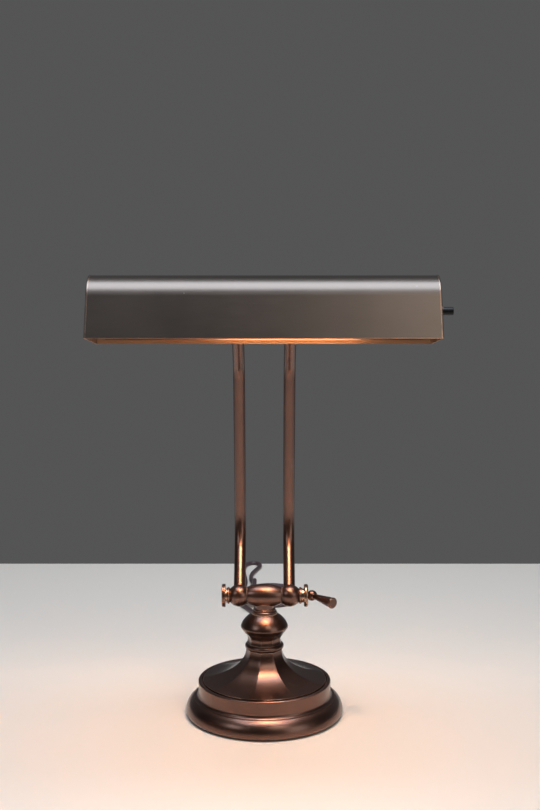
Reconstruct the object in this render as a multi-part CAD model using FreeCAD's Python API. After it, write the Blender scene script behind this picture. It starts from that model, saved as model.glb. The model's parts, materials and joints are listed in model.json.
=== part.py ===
"""A two-armed piano lamp: heavy round base, faceted column, clamped pivot bar, bent arms and a long trough shade.

Millimetres. The origin is the middle of the base on the table, +Z is up, -Y is the lamp's front, where the
shade hangs, and +X is the side of the clamp lever and the push switch.
"""

import FreeCAD, Part
import math
import os

V = FreeCAD.Vector
ORIGIN = V(0, 0, 0)
X_AXIS = V(1, 0, 0)
Y_AXIS = V(0, 1, 0)
Z_AXIS = V(0, 0, 1)

# Overall sizes
total_height = 355.6
shade_length = 254.0
running_gap = 0.05      # radial clearance of a shaft that turns in its bore
seat_gap = 0.03         # radial clearance of a piece that is fixed in its hole
face_gap = 0.1          # between flat faces that slide on each other

# Base cover, felt and weight
foot_radius = 63.5
foot_edge_height = 0.8
foot_belly_height = 4.4
foot_top_height = 17.4
band_radius = 53.5
band_height = 28.0
band_edge_rounding = 0.9
groove_outer_radius = 50.9
groove_depth = 1.1
cover_wall = 2.6
felt_thickness = 2.0
felt_inset = 4.6
weight_inset = 1.2
weight_web = 5.6
nut_pocket_radius = 18.0
cord_channel_width = 10.0

# Threaded tube that holds the stem together, with its nut and washer
rod_radius = 5.0
rod_bore_radius = 3.3
nut_height = 6.0
nut_across_flats = 17.0
washer_radius = 11.5
washer_thickness = 1.6
rod_overrun = 0.8

# Faceted flare, ring, neck and bulb
facet_count = 9
facet_turn = -11.0      # degrees from the front to the first ridge
flare_radius = 49.75
flare_edge = 1.4
flare_top_height = 53.6
flare_top_apothem = 14.0
flare_reach = 56.0      # apothem at which the concave sweep would run level
ring_radius = 15.6
ring_height = 4.8
neck_foot_apothem = 13.5
neck_waist_apothem = 12.6
neck_top_apothem = 15.4
neck_height = 9.2
bulb_radius = 19.1
bulb_belly_height = 4.2     # above the neck
bulb_height = 15.2
bulb_top_radius = 10.2

# Stepped collar under the pivot barrel
collar_flange_radius = 10.4
collar_flange_height = 0.7
collar_low_radius = 9.8
collar_low_height = 1.8
collar_high_radius = 8.9
collar_high_height = 1.7

# Pivot bar, along X
pivot_height = 97.3
barrel_length = 27.0
barrel_radius = 9.6
barrel_end_radius = 6.9
barrel_boss_radius = 7.6
barrel_boss_drop = 0.5      # boss below the barrel's lowest line
bolt_radius = 3.0
disc_radius = 9.2
disc_thickness = 2.8
disc_neck_radius = 4.4
disc_neck_length = 0.8
knuckle_length = 13.4
knuckle_radius = 8.9
knuckle_inner_radius = 6.7
knuckle_outer_radius = 5.4
pivot_washer_thickness = 0.9
pivot_washer_radius = 6.5
collar_length = 2.6
collar_radius = 6.75

# Clamp lever
hub_ring_radius = 5.6
hub_ring_length = 1.2
hub_disc_radius = 9.15
hub_disc_length = 3.2
ball_radius = 4.25
ball_offset = 3.2           # ball centre beyond the hub disc
ball_neck_radius = 2.7
handle_length = 27.2
handle_root_radius = 2.2
handle_tip_radius = 4.45
handle_angle = 54.0         # degrees from +X towards the front

# Arms: the corners of their side view, each rounded by a radius
arm_diameter = 9.4
arm_wall = 1.0
arm_inset = 0.8             # knuckle metal between the tube and the washer's face
arm_socket_start = 4.6      # from the pivot axis to the tube's end
elbow_back = 39.7
elbow_rise = 44.5           # above the pivot axis
elbow_radius = 40.0
kink_back = 8.0
kink_rise = 181.7
kink_radius = 25.0
swivel_forward = 27.0
swivel_rise = 215.7

# Shade swivel
eye_radius = 7.0
eye_wall = 0.8              # each side of the arm
eye_rounding = 1.9
swivel_pin_radius = 2.5
swivel_washer_thickness = 1.0
swivel_washer_radius = 5.4
cap_nut_radius = 4.4
cap_nut_length = 5.2
dome_flat = 0.5             # radius of the small flat that ends a domed head
ear_thickness = 1.6
ear_radius = 5.2
bracket_thickness = 2.0
bracket_low = 2.6           # up the back wall from the lip
bracket_high = 27.0
wall_to_swivel = 9.5
rivet_radius = 1.6
rivet_head_radius = 2.9
rivet_head_height = 1.1
rivet_across = 16.0
rivet_low = 15.5
rivet_high = 23.0
grommet_radius = 3.6
grommet_bore = 2.0
grommet_height = 19.2
grommet_lip = 1.0

# Shade
shade_half_depth = 31.7
shade_crown_radius = 23.0
shade_side_slope = 17.0
shade_tilt = 8.4
shade_wall = 0.9
hem_height = 3.0
hem_thickness = 0.9
end_plate = 1.2
end_plate_proud = 0.35
end_flange_length = 6.0
end_flange_wall = 0.8
end_flange_gap = 0.05

# Switch, on the shade's right end
switch_axis_height = 22.0   # above the lip plane
switch_body_radius = 8.5
switch_body_length = 15.0
bushing_radius = 4.2
switch_washer_radius = 5.6
switch_washer_thickness = 0.8
switch_nut_flats = 10.0
switch_nut_thickness = 2.1
button_radius = 3.0
button_reach = 8.3          # outside the nut
button_travel = 2.5
button_inside = 3.0

# Lampholder and bulb, along the shade
strap_thickness = 1.2
strap_width = 14.0
strap_clearance = 2.4
holder_radius = 16.5
holder_length = 38.0
holder_wall = 1.8
holder_back = 4.0
screw_shell_radius = 14.0
screw_shell_wall = 0.4
bulb_cap_radius = 13.0
bulb_cap_length = 24.0
bulb_glass_radius = 15.8
bulb_glass_length = 108.0
bulb_glass_wall = 0.8
bulb_neck_length = 9.0

# Cord, its moulded relief, coil and plug
cord_diameter = 4.5
cord_exit_height = 7.0
relief_flange_radius = 5.6
relief_flange_length = 2.0
relief_length = 22.0
relief_tip_radius = 3.2
relief_core_radius = 4.2
relief_core_inside = 6.0
lead_radius = 1.6
lead_bend = 4.0
coil_middle_radius = 24.75
coil_pitch = 5.0
coil_layer_rise = 5.0
coil_half_turns_in = 8
coil_half_turns_out = 7
coil_centre_x = 4.0
coil_centre_y = 320.0
plug_length = 26.0
plug_width = 20.0
plug_thickness = 12.0
plug_neck_radius = 3.4
plug_gap = 0.3              # between the plug and the coil that it lies on
blade_length = 17.0
blade_width = 6.3
blade_thickness = 1.5
blade_spacing = 12.7

os.makedirs("parts", exist_ok=True)
made = {}


def save(name, shape):
    """Keeps a piece as one solid or a group of separate solids, facing outwards."""
    solids = []
    for solid in shape.Solids:
        if solid.Volume < 0:
            solid.reverse()
        solids.append(solid)
    whole = solids[0] if len(solids) == 1 else Part.makeCompound(solids)
    made[name] = whole
    whole.exportStep("parts/" + name + ".step")


def outline(start, *steps):
    """A closed wire in the XZ plane: a step is a point for a line, or a (middle, end) pair for an arc."""
    first = V(start[0], 0, start[1])
    here = first
    edges = []
    for step in steps:
        if isinstance(step[0], tuple):
            middle = V(step[0][0], 0, step[0][1])
            end = V(step[1][0], 0, step[1][1])
            edges.append(Part.Arc(here, middle, end).toShape())
        else:
            end = V(step[0], 0, step[1])
            edges.append(Part.makeLine(here, end))
        here = end
    if (here - first).Length > 1e-6:
        edges.append(Part.makeLine(here, first))
    return Part.Wire(edges)


def turned(wire, axis=Z_AXIS):
    """The solid that an outline sweeps in one full turn about an axis through the origin."""
    solid = Part.Face(wire).revolve(ORIGIN, axis, 360)
    solid = Part.Solid(solid) if solid.ShapeType == "Shell" else solid
    if solid.Volume < 0:
        solid.reverse()
    return solid


def rod(radius, start, end):
    """A round bar between two points."""
    span = end - start
    return Part.makeCylinder(radius, span.Length, start, span)


def tube(outer, inner, start, end):
    return rod(outer, start, end).cut(rod(inner, start, end))


def hexagon(across_flats, start, end):
    """A six-sided bar between two points."""
    span = end - start
    corner = across_flats / math.sqrt(3)
    points = [V(corner * math.cos(math.radians(60 * k)), corner * math.sin(math.radians(60 * k)), 0)
              for k in range(7)]
    bar = Part.Face(Part.makePolygon(points)).extrude(V(0, 0, span.Length))
    bar.Placement = FreeCAD.Placement(start, FreeCAD.Rotation(Z_AXIS, span))
    return bar


def moved(shape, offset):
    copy = shape.copy()
    copy.translate(offset)
    return copy


def mirrored(shape):
    """The same piece on the other side of the lamp's middle plane."""
    return shape.mirror(ORIGIN, X_AXIS)


def polygon_ring(apothem, height):
    """The column's many-sided outline at one height."""
    corner = apothem / math.cos(math.pi / facet_count)
    points = []
    for k in range(facet_count + 1):
        angle = math.radians(facet_turn + 360.0 * k / facet_count)
        points.append(V(corner * math.sin(angle), -corner * math.cos(angle), height))
    return Part.makePolygon(points)


def rounded_path(points, radii):
    """Straight runs joined by tangent arcs of the given radii, one for each inner point."""
    edges = []
    here = points[0]
    for k in range(1, len(points) - 1):
        back = (points[k - 1] - points[k]).normalize()
        ahead = (points[k + 1] - points[k]).normalize()
        half_turn = (math.pi - back.getAngle(ahead)) / 2
        reach = radii[k - 1] * math.tan(half_turn)
        arc_start = points[k] + back * reach
        arc_end = points[k] + ahead * reach
        inward = (back + ahead).normalize()
        middle = points[k] + inward * (radii[k - 1] * (1 / math.cos(half_turn) - 1))
        edges.append(Part.makeLine(here, arc_start))
        edges.append(Part.Arc(arc_start, middle, arc_end).toShape())
        here = arc_end
    edges.append(Part.makeLine(here, points[-1]))
    return Part.Wire(edges)


def swept(path, radius):
    """A round bar along a path."""
    first = path.Edges[0]
    start = first.valueAt(first.FirstParameter)
    along = first.tangentAt(first.FirstParameter)
    section = Part.Wire([Part.makeCircle(radius, start, along)])
    return path.makePipeShell([section], True, False)


# Heights and places that follow from the sizes above
cover_top = band_height - groove_depth
weight_bottom = felt_thickness
weight_top = cover_top - cover_wall
pocket_top = weight_top - weight_web
washer_bottom = pocket_top - washer_thickness
nut_bottom = washer_bottom - nut_height
rod_bottom = nut_bottom - rod_overrun
ring_bottom = flare_top_height
neck_bottom = ring_bottom + ring_height
bulb_bottom = neck_bottom + neck_height
bulb_top = bulb_bottom + bulb_height
barrel_boss_bottom = pivot_height - barrel_radius - barrel_boss_drop
rod_top = pivot_height - bolt_radius - running_gap - 1.6
knuckle_start = barrel_length / 2 + face_gap + pivot_washer_thickness
knuckle_end = knuckle_start + knuckle_length
collar_end = knuckle_end + collar_length
arm_radius = arm_diameter / 2
arm_x = knuckle_start + arm_inset + arm_radius
eye_length = arm_diameter + 2 * eye_wall
pivot = V(0, 0, pivot_height)
swivel = V(0, -swivel_forward, pivot_height + swivel_rise)

# Places in the shade's own frame: Y across from front to back, Z up from the middle of the lip plane
slope = math.radians(shade_side_slope)
tilt = math.radians(shade_tilt)
shoulder_y = shade_crown_radius * math.cos(slope)
shoulder_z = (shade_half_depth - shoulder_y) / math.tan(slope)
crown_centre_z = shoulder_z - shade_crown_radius * math.sin(slope)
shade_z = total_height - shade_crown_radius - end_plate_proud - crown_centre_z * math.cos(tilt)
wall_out = V(0, math.cos(slope), math.sin(slope))
wall_up = V(0, -math.sin(slope), math.cos(slope))
back_lip = V(0, shade_half_depth, 0)
swivel_drop = swivel.z - shade_z
swivel_share = math.cos(tilt) * wall_out.y + math.sin(tilt) * wall_out.z
swivel_rest = swivel_drop * (math.cos(tilt) * wall_out.z - math.sin(tilt) * wall_out.y)
swivel_behind = (wall_to_swivel + shade_half_depth * wall_out.y - swivel_rest) / swivel_share
shade_place = V(0, swivel.y - swivel_behind, shade_z)


def in_shade(shape):
    """Takes a piece from the shade's own frame to its place on the lamp."""
    copy = shape.copy()
    copy.rotate(ORIGIN, X_AXIS, -shade_tilt)
    copy.translate(shade_place)
    return copy


def to_shade_frame(point):
    """A point of the lamp, seen in the shade's own frame."""
    away = point - shade_place
    return V(away.x, away.y * math.cos(tilt) - away.z * math.sin(tilt),
             away.y * math.sin(tilt) + away.z * math.cos(tilt))


# Base cover: ogee foot, upright band with a rounded edge, and a groove round the column's seat
cove_middle = (band_radius + 0.9, foot_top_height - 2.1)
cove_end = (band_radius + 3.4, foot_top_height - 3.0)
cover_outer = outline(
    (rod_radius + seat_gap, weight_top),
    (rod_radius + seat_gap, cover_top),
    (groove_outer_radius - 0.7, cover_top),
    (groove_outer_radius, band_height),
    (band_radius - band_edge_rounding, band_height),
    ((band_radius - 0.3 * band_edge_rounding, band_height - 0.3 * band_edge_rounding),
     (band_radius, band_height - band_edge_rounding)),
    (band_radius, foot_top_height),
    (cove_middle, cove_end),
    ((foot_radius - 1.9, foot_belly_height + 5.6), (foot_radius, foot_belly_height)),
    ((foot_radius - 0.25, foot_belly_height - 2.2), (foot_radius - 1.3, foot_edge_height)),
    (foot_radius - 1.3 - cover_wall, foot_edge_height),
    (foot_radius - cover_wall, foot_belly_height),
    ((foot_radius - cover_wall - 2.1, foot_belly_height + 4.4),
     (band_radius - cover_wall + 1.6, foot_top_height - cover_wall)),
    (band_radius - cover_wall, foot_top_height - cover_wall + 1.5),
    (band_radius - cover_wall, weight_top),
)
relief_y = foot_radius + 0.6
relief_hole = rod(relief_core_radius + seat_gap, V(0, band_radius - 6, cord_exit_height),
                  V(0, foot_radius + 5, cord_exit_height))
base_cover = turned(cover_outer).cut(relief_hole)
save("base_cover", base_cover)

# Felt under the base, inside the cover's edge
save("felt_pad", Part.makeCylinder(foot_radius - felt_inset, felt_thickness))

# Cast weight, with a pocket for the nut and a channel for the cord
low_radius = foot_radius - felt_inset - weight_inset
high_radius = band_radius - cover_wall - weight_inset
weight = turned(outline(
    (nut_pocket_radius, weight_bottom),
    (low_radius, weight_bottom),
    (low_radius, foot_belly_height),
    ((low_radius - 1.4, foot_belly_height + 4.0), (high_radius + 1.2, foot_top_height - cover_wall - 1.2)),
    (high_radius, foot_top_height - cover_wall + 1.6),
    (high_radius, weight_top),
    (rod_radius + seat_gap, weight_top),
    (rod_radius + seat_gap, pocket_top),
    (nut_pocket_radius, pocket_top),
))
channel_top = cord_exit_height + cord_channel_width / 2
channel = Part.makeBox(cord_channel_width, foot_radius, channel_top - weight_bottom,
                       V(-cord_channel_width / 2, 0, weight_bottom))
save("base_weight", weight.cut(channel))

# Threaded tube, nut and washer
save("stem_rod", tube(rod_radius, rod_bore_radius, V(0, 0, rod_bottom), V(0, 0, rod_top)))
nut_hole = rod(rod_radius + seat_gap, V(0, 0, nut_bottom), V(0, 0, pocket_top))
save("base_nut", hexagon(nut_across_flats, V(0, 0, nut_bottom), V(0, 0, washer_bottom)).cut(nut_hole))
save("base_washer", rod(washer_radius, V(0, 0, washer_bottom), V(0, 0, pocket_top)).cut(nut_hole))

# Faceted flare: many-sided rings whose size follows a quarter ellipse, trimmed round at the groove
flare_drop = flare_top_height - cover_top - flare_edge
flare_rings = []
flare_steps = 7
for step in range(flare_steps + 1):
    angle = math.radians(90.0 * step / flare_steps)
    apothem = flare_reach - (flare_reach - flare_top_apothem) * math.cos(angle)
    flare_rings.append(polygon_ring(apothem, flare_top_height - flare_drop * math.sin(angle)))
flare = Part.makeLoft(flare_rings, True, False)
flare_foot = Part.makeCylinder(flare_radius, flare_edge + 0.02, V(0, 0, cover_top))
flare_trim = Part.makeCylinder(flare_radius, total_height)
stem_hole = rod(rod_radius + seat_gap, V(0, 0, cover_top - 1), V(0, 0, barrel_boss_bottom + 1))
save("flare_column", flare.fuse(flare_foot).common(flare_trim).cut(stem_hole))

# Round ring between the flare and the neck
ring_bulge = 1.9
save("column_ring", turned(outline(
    (rod_radius + seat_gap, ring_bottom),
    (ring_radius - ring_bulge, ring_bottom),
    ((ring_radius, ring_bottom + ring_height / 2), (ring_radius - ring_bulge, neck_bottom)),
    (rod_radius + seat_gap, neck_bottom),
)))

# Faceted neck that carries a round bulb, one casting
neck_rings = []
neck_sizes = (neck_foot_apothem, neck_waist_apothem, (neck_waist_apothem + neck_top_apothem) / 2 - 0.4,
              neck_top_apothem)
for step, apothem in enumerate(neck_sizes):
    neck_rings.append(polygon_ring(apothem, neck_bottom + (neck_height + 0.4) * step / (len(neck_sizes) - 1)))
neck = Part.makeLoft(neck_rings, True, False)
belly = bulb_bottom + bulb_belly_height
bulb = turned(outline(
    (0, bulb_bottom),
    (neck_top_apothem + 0.9, bulb_bottom),
    (bulb_radius - 0.7, belly - 0.9),
    ((bulb_radius, belly + 0.1), (bulb_radius - 0.6, belly + 1.2)),
    ((bulb_radius - 3.6, belly + 5.4), (bulb_top_radius, bulb_top)),
    (0, bulb_top),
))
save("neck_bulb", neck.fuse(bulb).cut(stem_hole))

# Stepped collar that the barrel sits on
flange_top = bulb_top + collar_flange_height
low_top = flange_top + collar_low_height
high_top = low_top + collar_high_height
collar_bore = rod_radius + seat_gap
save("stem_collar", turned(outline(
    (collar_bore, bulb_top),
    (collar_flange_radius, bulb_top),
    (collar_flange_radius, flange_top),
    (collar_low_radius - 0.5, flange_top),
    ((collar_low_radius, (flange_top + low_top) / 2), (collar_low_radius - 0.5, low_top)),
    (collar_high_radius - 0.4, low_top),
    ((collar_high_radius, (low_top + high_top) / 2), (collar_high_radius - 0.4, high_top)),
    (barrel_boss_radius, high_top),
    (barrel_boss_radius, barrel_boss_bottom),
    (collar_bore, barrel_boss_bottom),
)))

# Pivot barrel: a long rounded body with a boss that screws on the threaded tube
barrel = moved(turned(outline(
    (-barrel_length / 2, 0),
    (-barrel_length / 2, barrel_end_radius - 0.4),
    (-barrel_length / 2 + 0.4, barrel_end_radius),
    ((0, barrel_radius), (barrel_length / 2 - 0.4, barrel_end_radius)),
    (barrel_length / 2, barrel_end_radius - 0.4),
    (barrel_length / 2, 0),
), X_AXIS), pivot)
boss = rod(barrel_boss_radius, V(0, 0, barrel_boss_bottom), V(0, 0, rod_top))
bolt_bore = rod(bolt_radius + running_gap, V(-barrel_length, 0, pivot_height), V(barrel_length, 0, pivot_height))
rod_socket = rod(rod_radius + seat_gap, V(0, 0, barrel_boss_bottom - 1), V(0, 0, rod_top + 0.4))
save("pivot_barrel", barrel.fuse(boss).cut(bolt_bore).cut(rod_socket))


def arm_side_points():
    """The corners of an arm's middle line, from the pivot axis to the swivel axis."""
    return [pivot, pivot + V(0, elbow_back, elbow_rise), pivot + V(0, kink_back, kink_rise), swivel]


# Right arm: bent tube between a clamped knuckle and a swivel eye
corners = arm_side_points()
foot_way = (corners[1] - corners[0]).normalize()
head_way = (corners[2] - corners[3]).normalize()
tube_start = corners[0] + foot_way * arm_socket_start
tube_end = corners[3] + head_way * (swivel_pin_radius + 1.2)
arm_line = rounded_path([tube_start, corners[1], corners[2], tube_end], [elbow_radius, kink_radius])
arm_outer = swept(arm_line, arm_radius)
arm_inner = swept(arm_line, arm_radius - arm_wall)
right_arm = moved(arm_outer.cut(arm_inner), V(arm_x, 0, 0))
save("right_arm_tube", right_arm)
save("left_arm_tube", mirrored(right_arm))

# Lead inside the left arm, short of its ends
lead_corners = [corners[0] + foot_way * (arm_socket_start + 3), corners[1], corners[2],
                corners[3] + head_way * (swivel_pin_radius + 4)]
arm_lead = swept(rounded_path(lead_corners, [elbow_radius, kink_radius]), lead_radius)
arm_lead_drop = arm_radius - arm_wall - lead_radius
save("arm_lead", moved(arm_lead, V(-arm_x + arm_lead_drop, 0, 0)))


def knuckle_form(length, end_in, end_out, middle, place):
    """An egg-shaped boss turned about X, from x = 0 outwards."""
    return moved(turned(outline(
        (0, 0),
        (0, end_in),
        ((length * 0.46, middle), (length - 0.8, end_out + 0.5)),
        (length, end_out),
        (length, 0),
    ), X_AXIS), place)


knuckle_bore = rod(bolt_radius + seat_gap, pivot, pivot + V(knuckle_end * 2, 0, 0))
arm_socket = moved(rod(arm_radius + seat_gap, corners[0] + foot_way * arm_socket_start, corners[1]), V(arm_x, 0, 0))
right_knuckle = knuckle_form(knuckle_length, knuckle_inner_radius, knuckle_outer_radius, knuckle_radius,
                             pivot + V(knuckle_start, 0, 0)).cut(knuckle_bore).cut(arm_socket)
save("right_knuckle", right_knuckle)
save("left_knuckle", mirrored(right_knuckle))

# Friction washers each side of the barrel
right_washer = tube(pivot_washer_radius, bolt_radius + seat_gap, pivot + V(barrel_length / 2 + face_gap, 0, 0),
                    pivot + V(knuckle_start, 0, 0))
save("pivot_washers", Part.makeCompound([right_washer, mirrored(right_washer)]))

# Turned collars outside the knuckles
right_collar = moved(turned(outline(
    (knuckle_end, bolt_radius + seat_gap),
    (knuckle_end, collar_radius - 0.7),
    ((knuckle_end + collar_length * 0.35, collar_radius), (knuckle_end + collar_length * 0.7, collar_radius - 0.7)),
    (collar_end, collar_radius - 0.7),
    (collar_end, bolt_radius + seat_gap),
), X_AXIS), pivot)
save("right_collar", right_collar)
save("left_collar", mirrored(right_collar))

# Clamp bolt: flanged disc on the left, threaded end in the lever's hub
disc_start = collar_end + disc_neck_length
disc_end = disc_start + disc_thickness
hub_start = collar_end + face_gap
hub_disc_start = hub_start + hub_ring_length
hub_end = hub_disc_start + hub_disc_length
bolt_end = hub_end - 1.4
save("clamp_bolt", moved(turned(outline(
    (-disc_end, 0),
    (-disc_end, disc_radius - 0.5),
    (-disc_end + 0.5, disc_radius),
    (-disc_start, disc_radius),
    (-disc_start, disc_neck_radius),
    (-collar_end, disc_neck_radius),
    (-collar_end, bolt_radius),
    (bolt_end - 0.6, bolt_radius),
    (bolt_end, bolt_radius - 0.6),
    (bolt_end, 0),
), X_AXIS), pivot))

# Clamp lever: hub with its disc, then ball and tapered handle as one turned piece
hub_bore = rod(bolt_radius + running_gap, pivot + V(hub_start - 1, 0, 0), pivot + V(bolt_end + 0.3, 0, 0))
lever_hub = moved(turned(outline(
    (hub_start, 0),
    (hub_start, hub_ring_radius),
    (hub_disc_start, hub_ring_radius),
    (hub_disc_start, hub_disc_radius - 0.6),
    ((hub_disc_start + hub_disc_length / 2, hub_disc_radius), (hub_end, hub_disc_radius - 0.6)),
    (hub_end, 0),
), X_AXIS), pivot).cut(hub_bore)
save("lever_hub", lever_hub)

ball_centre = pivot + V(hub_end + ball_offset, 0, 0)
handle_way = V(math.cos(math.radians(handle_angle)), -math.sin(math.radians(handle_angle)), 0)
handle = turned(outline(
    (0, 0),
    (0, handle_root_radius),
    (ball_radius + 1.0, handle_root_radius),
    (handle_length - 0.8, handle_tip_radius),
    (handle_length, handle_tip_radius - 0.8),
    (handle_length, 0),
), X_AXIS)
handle.Placement = FreeCAD.Placement(ball_centre, FreeCAD.Rotation(X_AXIS, handle_way))
ball = Part.makeSphere(ball_radius, ball_centre)
ball_neck = rod(ball_neck_radius, pivot + V(hub_end, 0, 0), ball_centre)
save("lever_handle", ball.fuse(handle).fuse(ball_neck).cut(lever_hub))

# Swivel at the arms' heads: eye, washer, pin and cap nuts
eye_start = arm_x - eye_length / 2
eye_end = arm_x + eye_length / 2
pin_hole = rod(swivel_pin_radius + seat_gap, swivel, swivel + V(eye_end * 2, 0, 0))
eye_socket = moved(rod(arm_radius + seat_gap, tube_end, corners[2]), V(arm_x, 0, 0))
round_corner = eye_rounding * (1 - math.sqrt(0.5))
right_eye = moved(turned(outline(
    (-eye_length / 2, 0),
    (-eye_length / 2, eye_radius - eye_rounding),
    ((-eye_length / 2 + round_corner, eye_radius - round_corner), (-eye_length / 2 + eye_rounding, eye_radius)),
    (eye_length / 2 - eye_rounding, eye_radius),
    ((eye_length / 2 - round_corner, eye_radius - round_corner), (eye_length / 2, eye_radius - eye_rounding)),
    (eye_length / 2, 0),
), X_AXIS), swivel + V(arm_x, 0, 0)).cut(pin_hole).cut(eye_socket)
save("right_swivel_eye", right_eye)
save("left_swivel_eye", mirrored(right_eye))

swivel_washer = tube(swivel_washer_radius, swivel_pin_radius + seat_gap,
                     swivel + V(eye_start - swivel_washer_thickness, 0, 0), swivel + V(eye_start, 0, 0))
save("swivel_washers", Part.makeCompound([swivel_washer, mirrored(swivel_washer)]))

pin_end = eye_end + cap_nut_length * 0.6
save("swivel_pin", rod(swivel_pin_radius, swivel - V(pin_end, 0, 0), swivel + V(pin_end, 0, 0)))
cap_nut = moved(turned(outline(
    (eye_end, 0),
    (eye_end, cap_nut_radius),
    (eye_end + cap_nut_length * 0.5, cap_nut_radius),
    ((eye_end + cap_nut_length * 0.85, cap_nut_radius * 0.7), (eye_end + cap_nut_length, dome_flat)),
    (eye_end + cap_nut_length, 0),
), X_AXIS), swivel).cut(rod(swivel_pin_radius + seat_gap, swivel, swivel + V(pin_end + 0.2, 0, 0)))
save("swivel_cap_nuts", Part.makeCompound([cap_nut, mirrored(cap_nut)]))


def trough_outline(inset, x):
    """The shade's cross-section, a given distance inside its outer face, as an open run of edges."""
    radius = shade_crown_radius - inset
    foot = shade_half_depth - inset / math.cos(slope)
    side_y = radius * math.cos(slope)
    side_z = crown_centre_z + radius * math.sin(slope)
    front = V(x, -foot, 0)
    back = V(x, foot, 0)
    edges = [
        Part.makeLine(front, V(x, -side_y, side_z)),
        Part.Arc(V(x, -side_y, side_z), V(x, 0, crown_centre_z + radius), V(x, side_y, side_z)).toShape(),
        Part.makeLine(V(x, side_y, side_z), back),
    ]
    return edges, front, back


def trough_bar(inset, start_x, length):
    """A full bar of the shade's cross-section."""
    edges, front, back = trough_outline(inset, start_x)
    face = Part.Face(Part.Wire(edges + [Part.makeLine(back, front)]))
    return face.extrude(V(length, 0, 0))


# Shade shell: bent sheet, hemmed along both lips
shell_half = shade_length / 2 - end_plate
shell = trough_bar(0, -shell_half, 2 * shell_half).cut(trough_bar(shade_wall, -shell_half - 1, 2 * shell_half + 2))
hem_bar = trough_bar(shade_wall, -shell_half + end_flange_length, 2 * (shell_half - end_flange_length))
hem_bar = hem_bar.cut(trough_bar(shade_wall + hem_thickness, -shell_half, 2 * shell_half))
hem_band = Part.makeBox(shade_length, 4 * shade_half_depth, hem_height, V(-shade_length / 2, -2 * shade_half_depth, 0))
shell = shell.fuse(hem_bar.common(hem_band)).removeSplitter()

swivel_local = to_shade_frame(swivel)
swivel_up = (swivel_local - back_lip).dot(wall_up)


def wall_point(x, up, out):
    """A point by its place on the shade's back wall: across, up from the lip, and out from the outer face."""
    return back_lip + wall_up * up + wall_out * out + V(x, 0, 0)


rivet_places = [(side * rivet_across / 2, up) for side in (-1, 1) for up in (rivet_low, rivet_high)]
rivet_holes = [rod(rivet_radius + seat_gap, wall_point(x, up, -3), wall_point(x, up, 4)) for x, up in rivet_places]
grommet_hole = rod(grommet_radius + seat_gap, wall_point(0, grommet_height, -3), wall_point(0, grommet_height, 6))
for hole in rivet_holes + [grommet_hole]:
    shell = shell.cut(hole)
save("shade_shell", in_shade(shell))

# End caps: plate a little proud of the shell, with a flange inside it
cap_plate = trough_bar(-end_plate_proud, shell_half, end_plate)
rim_edges = [edge for edge in cap_plate.Edges
             if edge.BoundBox.XMin > shell_half + end_plate - 0.01 and edge.BoundBox.ZMax > 0.01]
cap_plate = cap_plate.makeFillet(end_plate * 0.55, rim_edges)
flange_outer = trough_bar(shade_wall + end_flange_gap, shell_half - end_flange_length, end_flange_length)
flange_inner = trough_bar(shade_wall + end_flange_gap + end_flange_wall, shell_half - end_flange_length,
                          end_flange_length)
plain_cap = cap_plate.fuse(flange_outer.cut(flange_inner))
switch_line = V(0, 0, switch_axis_height)
switch_hole = rod(bushing_radius + seat_gap, switch_line, switch_line + V(shade_length, 0, 0))
save("left_end_cap", in_shade(mirrored(plain_cap)))
save("right_end_cap", in_shade(plain_cap.cut(switch_hole)))

# Hinge bracket on the back wall: plate with two ears round the swivel pin
ear_outer_x = eye_start - swivel_washer_thickness - face_gap
ear_inner_x = ear_outer_x - ear_thickness


def bracket_slab(x0, x1, up0, up1, out0, out1):
    """A block by its place on the back wall."""
    corner_points = [wall_point(x0, up0, out0), wall_point(x0, up1, out0), wall_point(x0, up1, out1),
                     wall_point(x0, up0, out1), wall_point(x0, up0, out0)]
    return Part.Face(Part.makePolygon(corner_points)).extrude(V(x1 - x0, 0, 0))


def bracket_ear(x0):
    """One ear: straight sides from the plate, round about the pin."""
    spread = ear_radius
    centre = wall_point(x0, swivel_up, wall_to_swivel)
    plate_low = wall_point(x0, bracket_low, 0)
    plate_high = wall_point(x0, bracket_high - 3, 0)
    low = centre - wall_up * spread
    high_way = (wall_out + wall_up).normalize()
    high = centre + high_way * spread
    round_middle = centre + (wall_out - wall_up).normalize() * spread
    edges = [Part.makeLine(plate_low, low), Part.Arc(low, round_middle, high).toShape(),
             Part.makeLine(high, plate_high), Part.makeLine(plate_high, plate_low)]
    return Part.Face(Part.Wire(edges)).extrude(V(ear_thickness, 0, 0))


bracket = bracket_slab(-ear_outer_x, ear_outer_x, bracket_low, bracket_high, 0, bracket_thickness)
bracket = bracket.fuse(bracket_ear(ear_inner_x)).fuse(bracket_ear(-ear_outer_x))
swivel_bore = rod(swivel_pin_radius + running_gap, swivel_local - V(shade_length, 0, 0),
                  swivel_local + V(shade_length, 0, 0))
for hole in rivet_holes + [grommet_hole, swivel_bore]:
    bracket = bracket.cut(hole)
save("shade_bracket", in_shade(bracket.removeSplitter()))

save("swivel_spacer", in_shade(tube(swivel_pin_radius + 1.5, swivel_pin_radius + running_gap,
                                    swivel_local - V(ear_inner_x, 0, 0), swivel_local + V(ear_inner_x, 0, 0))))


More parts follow.
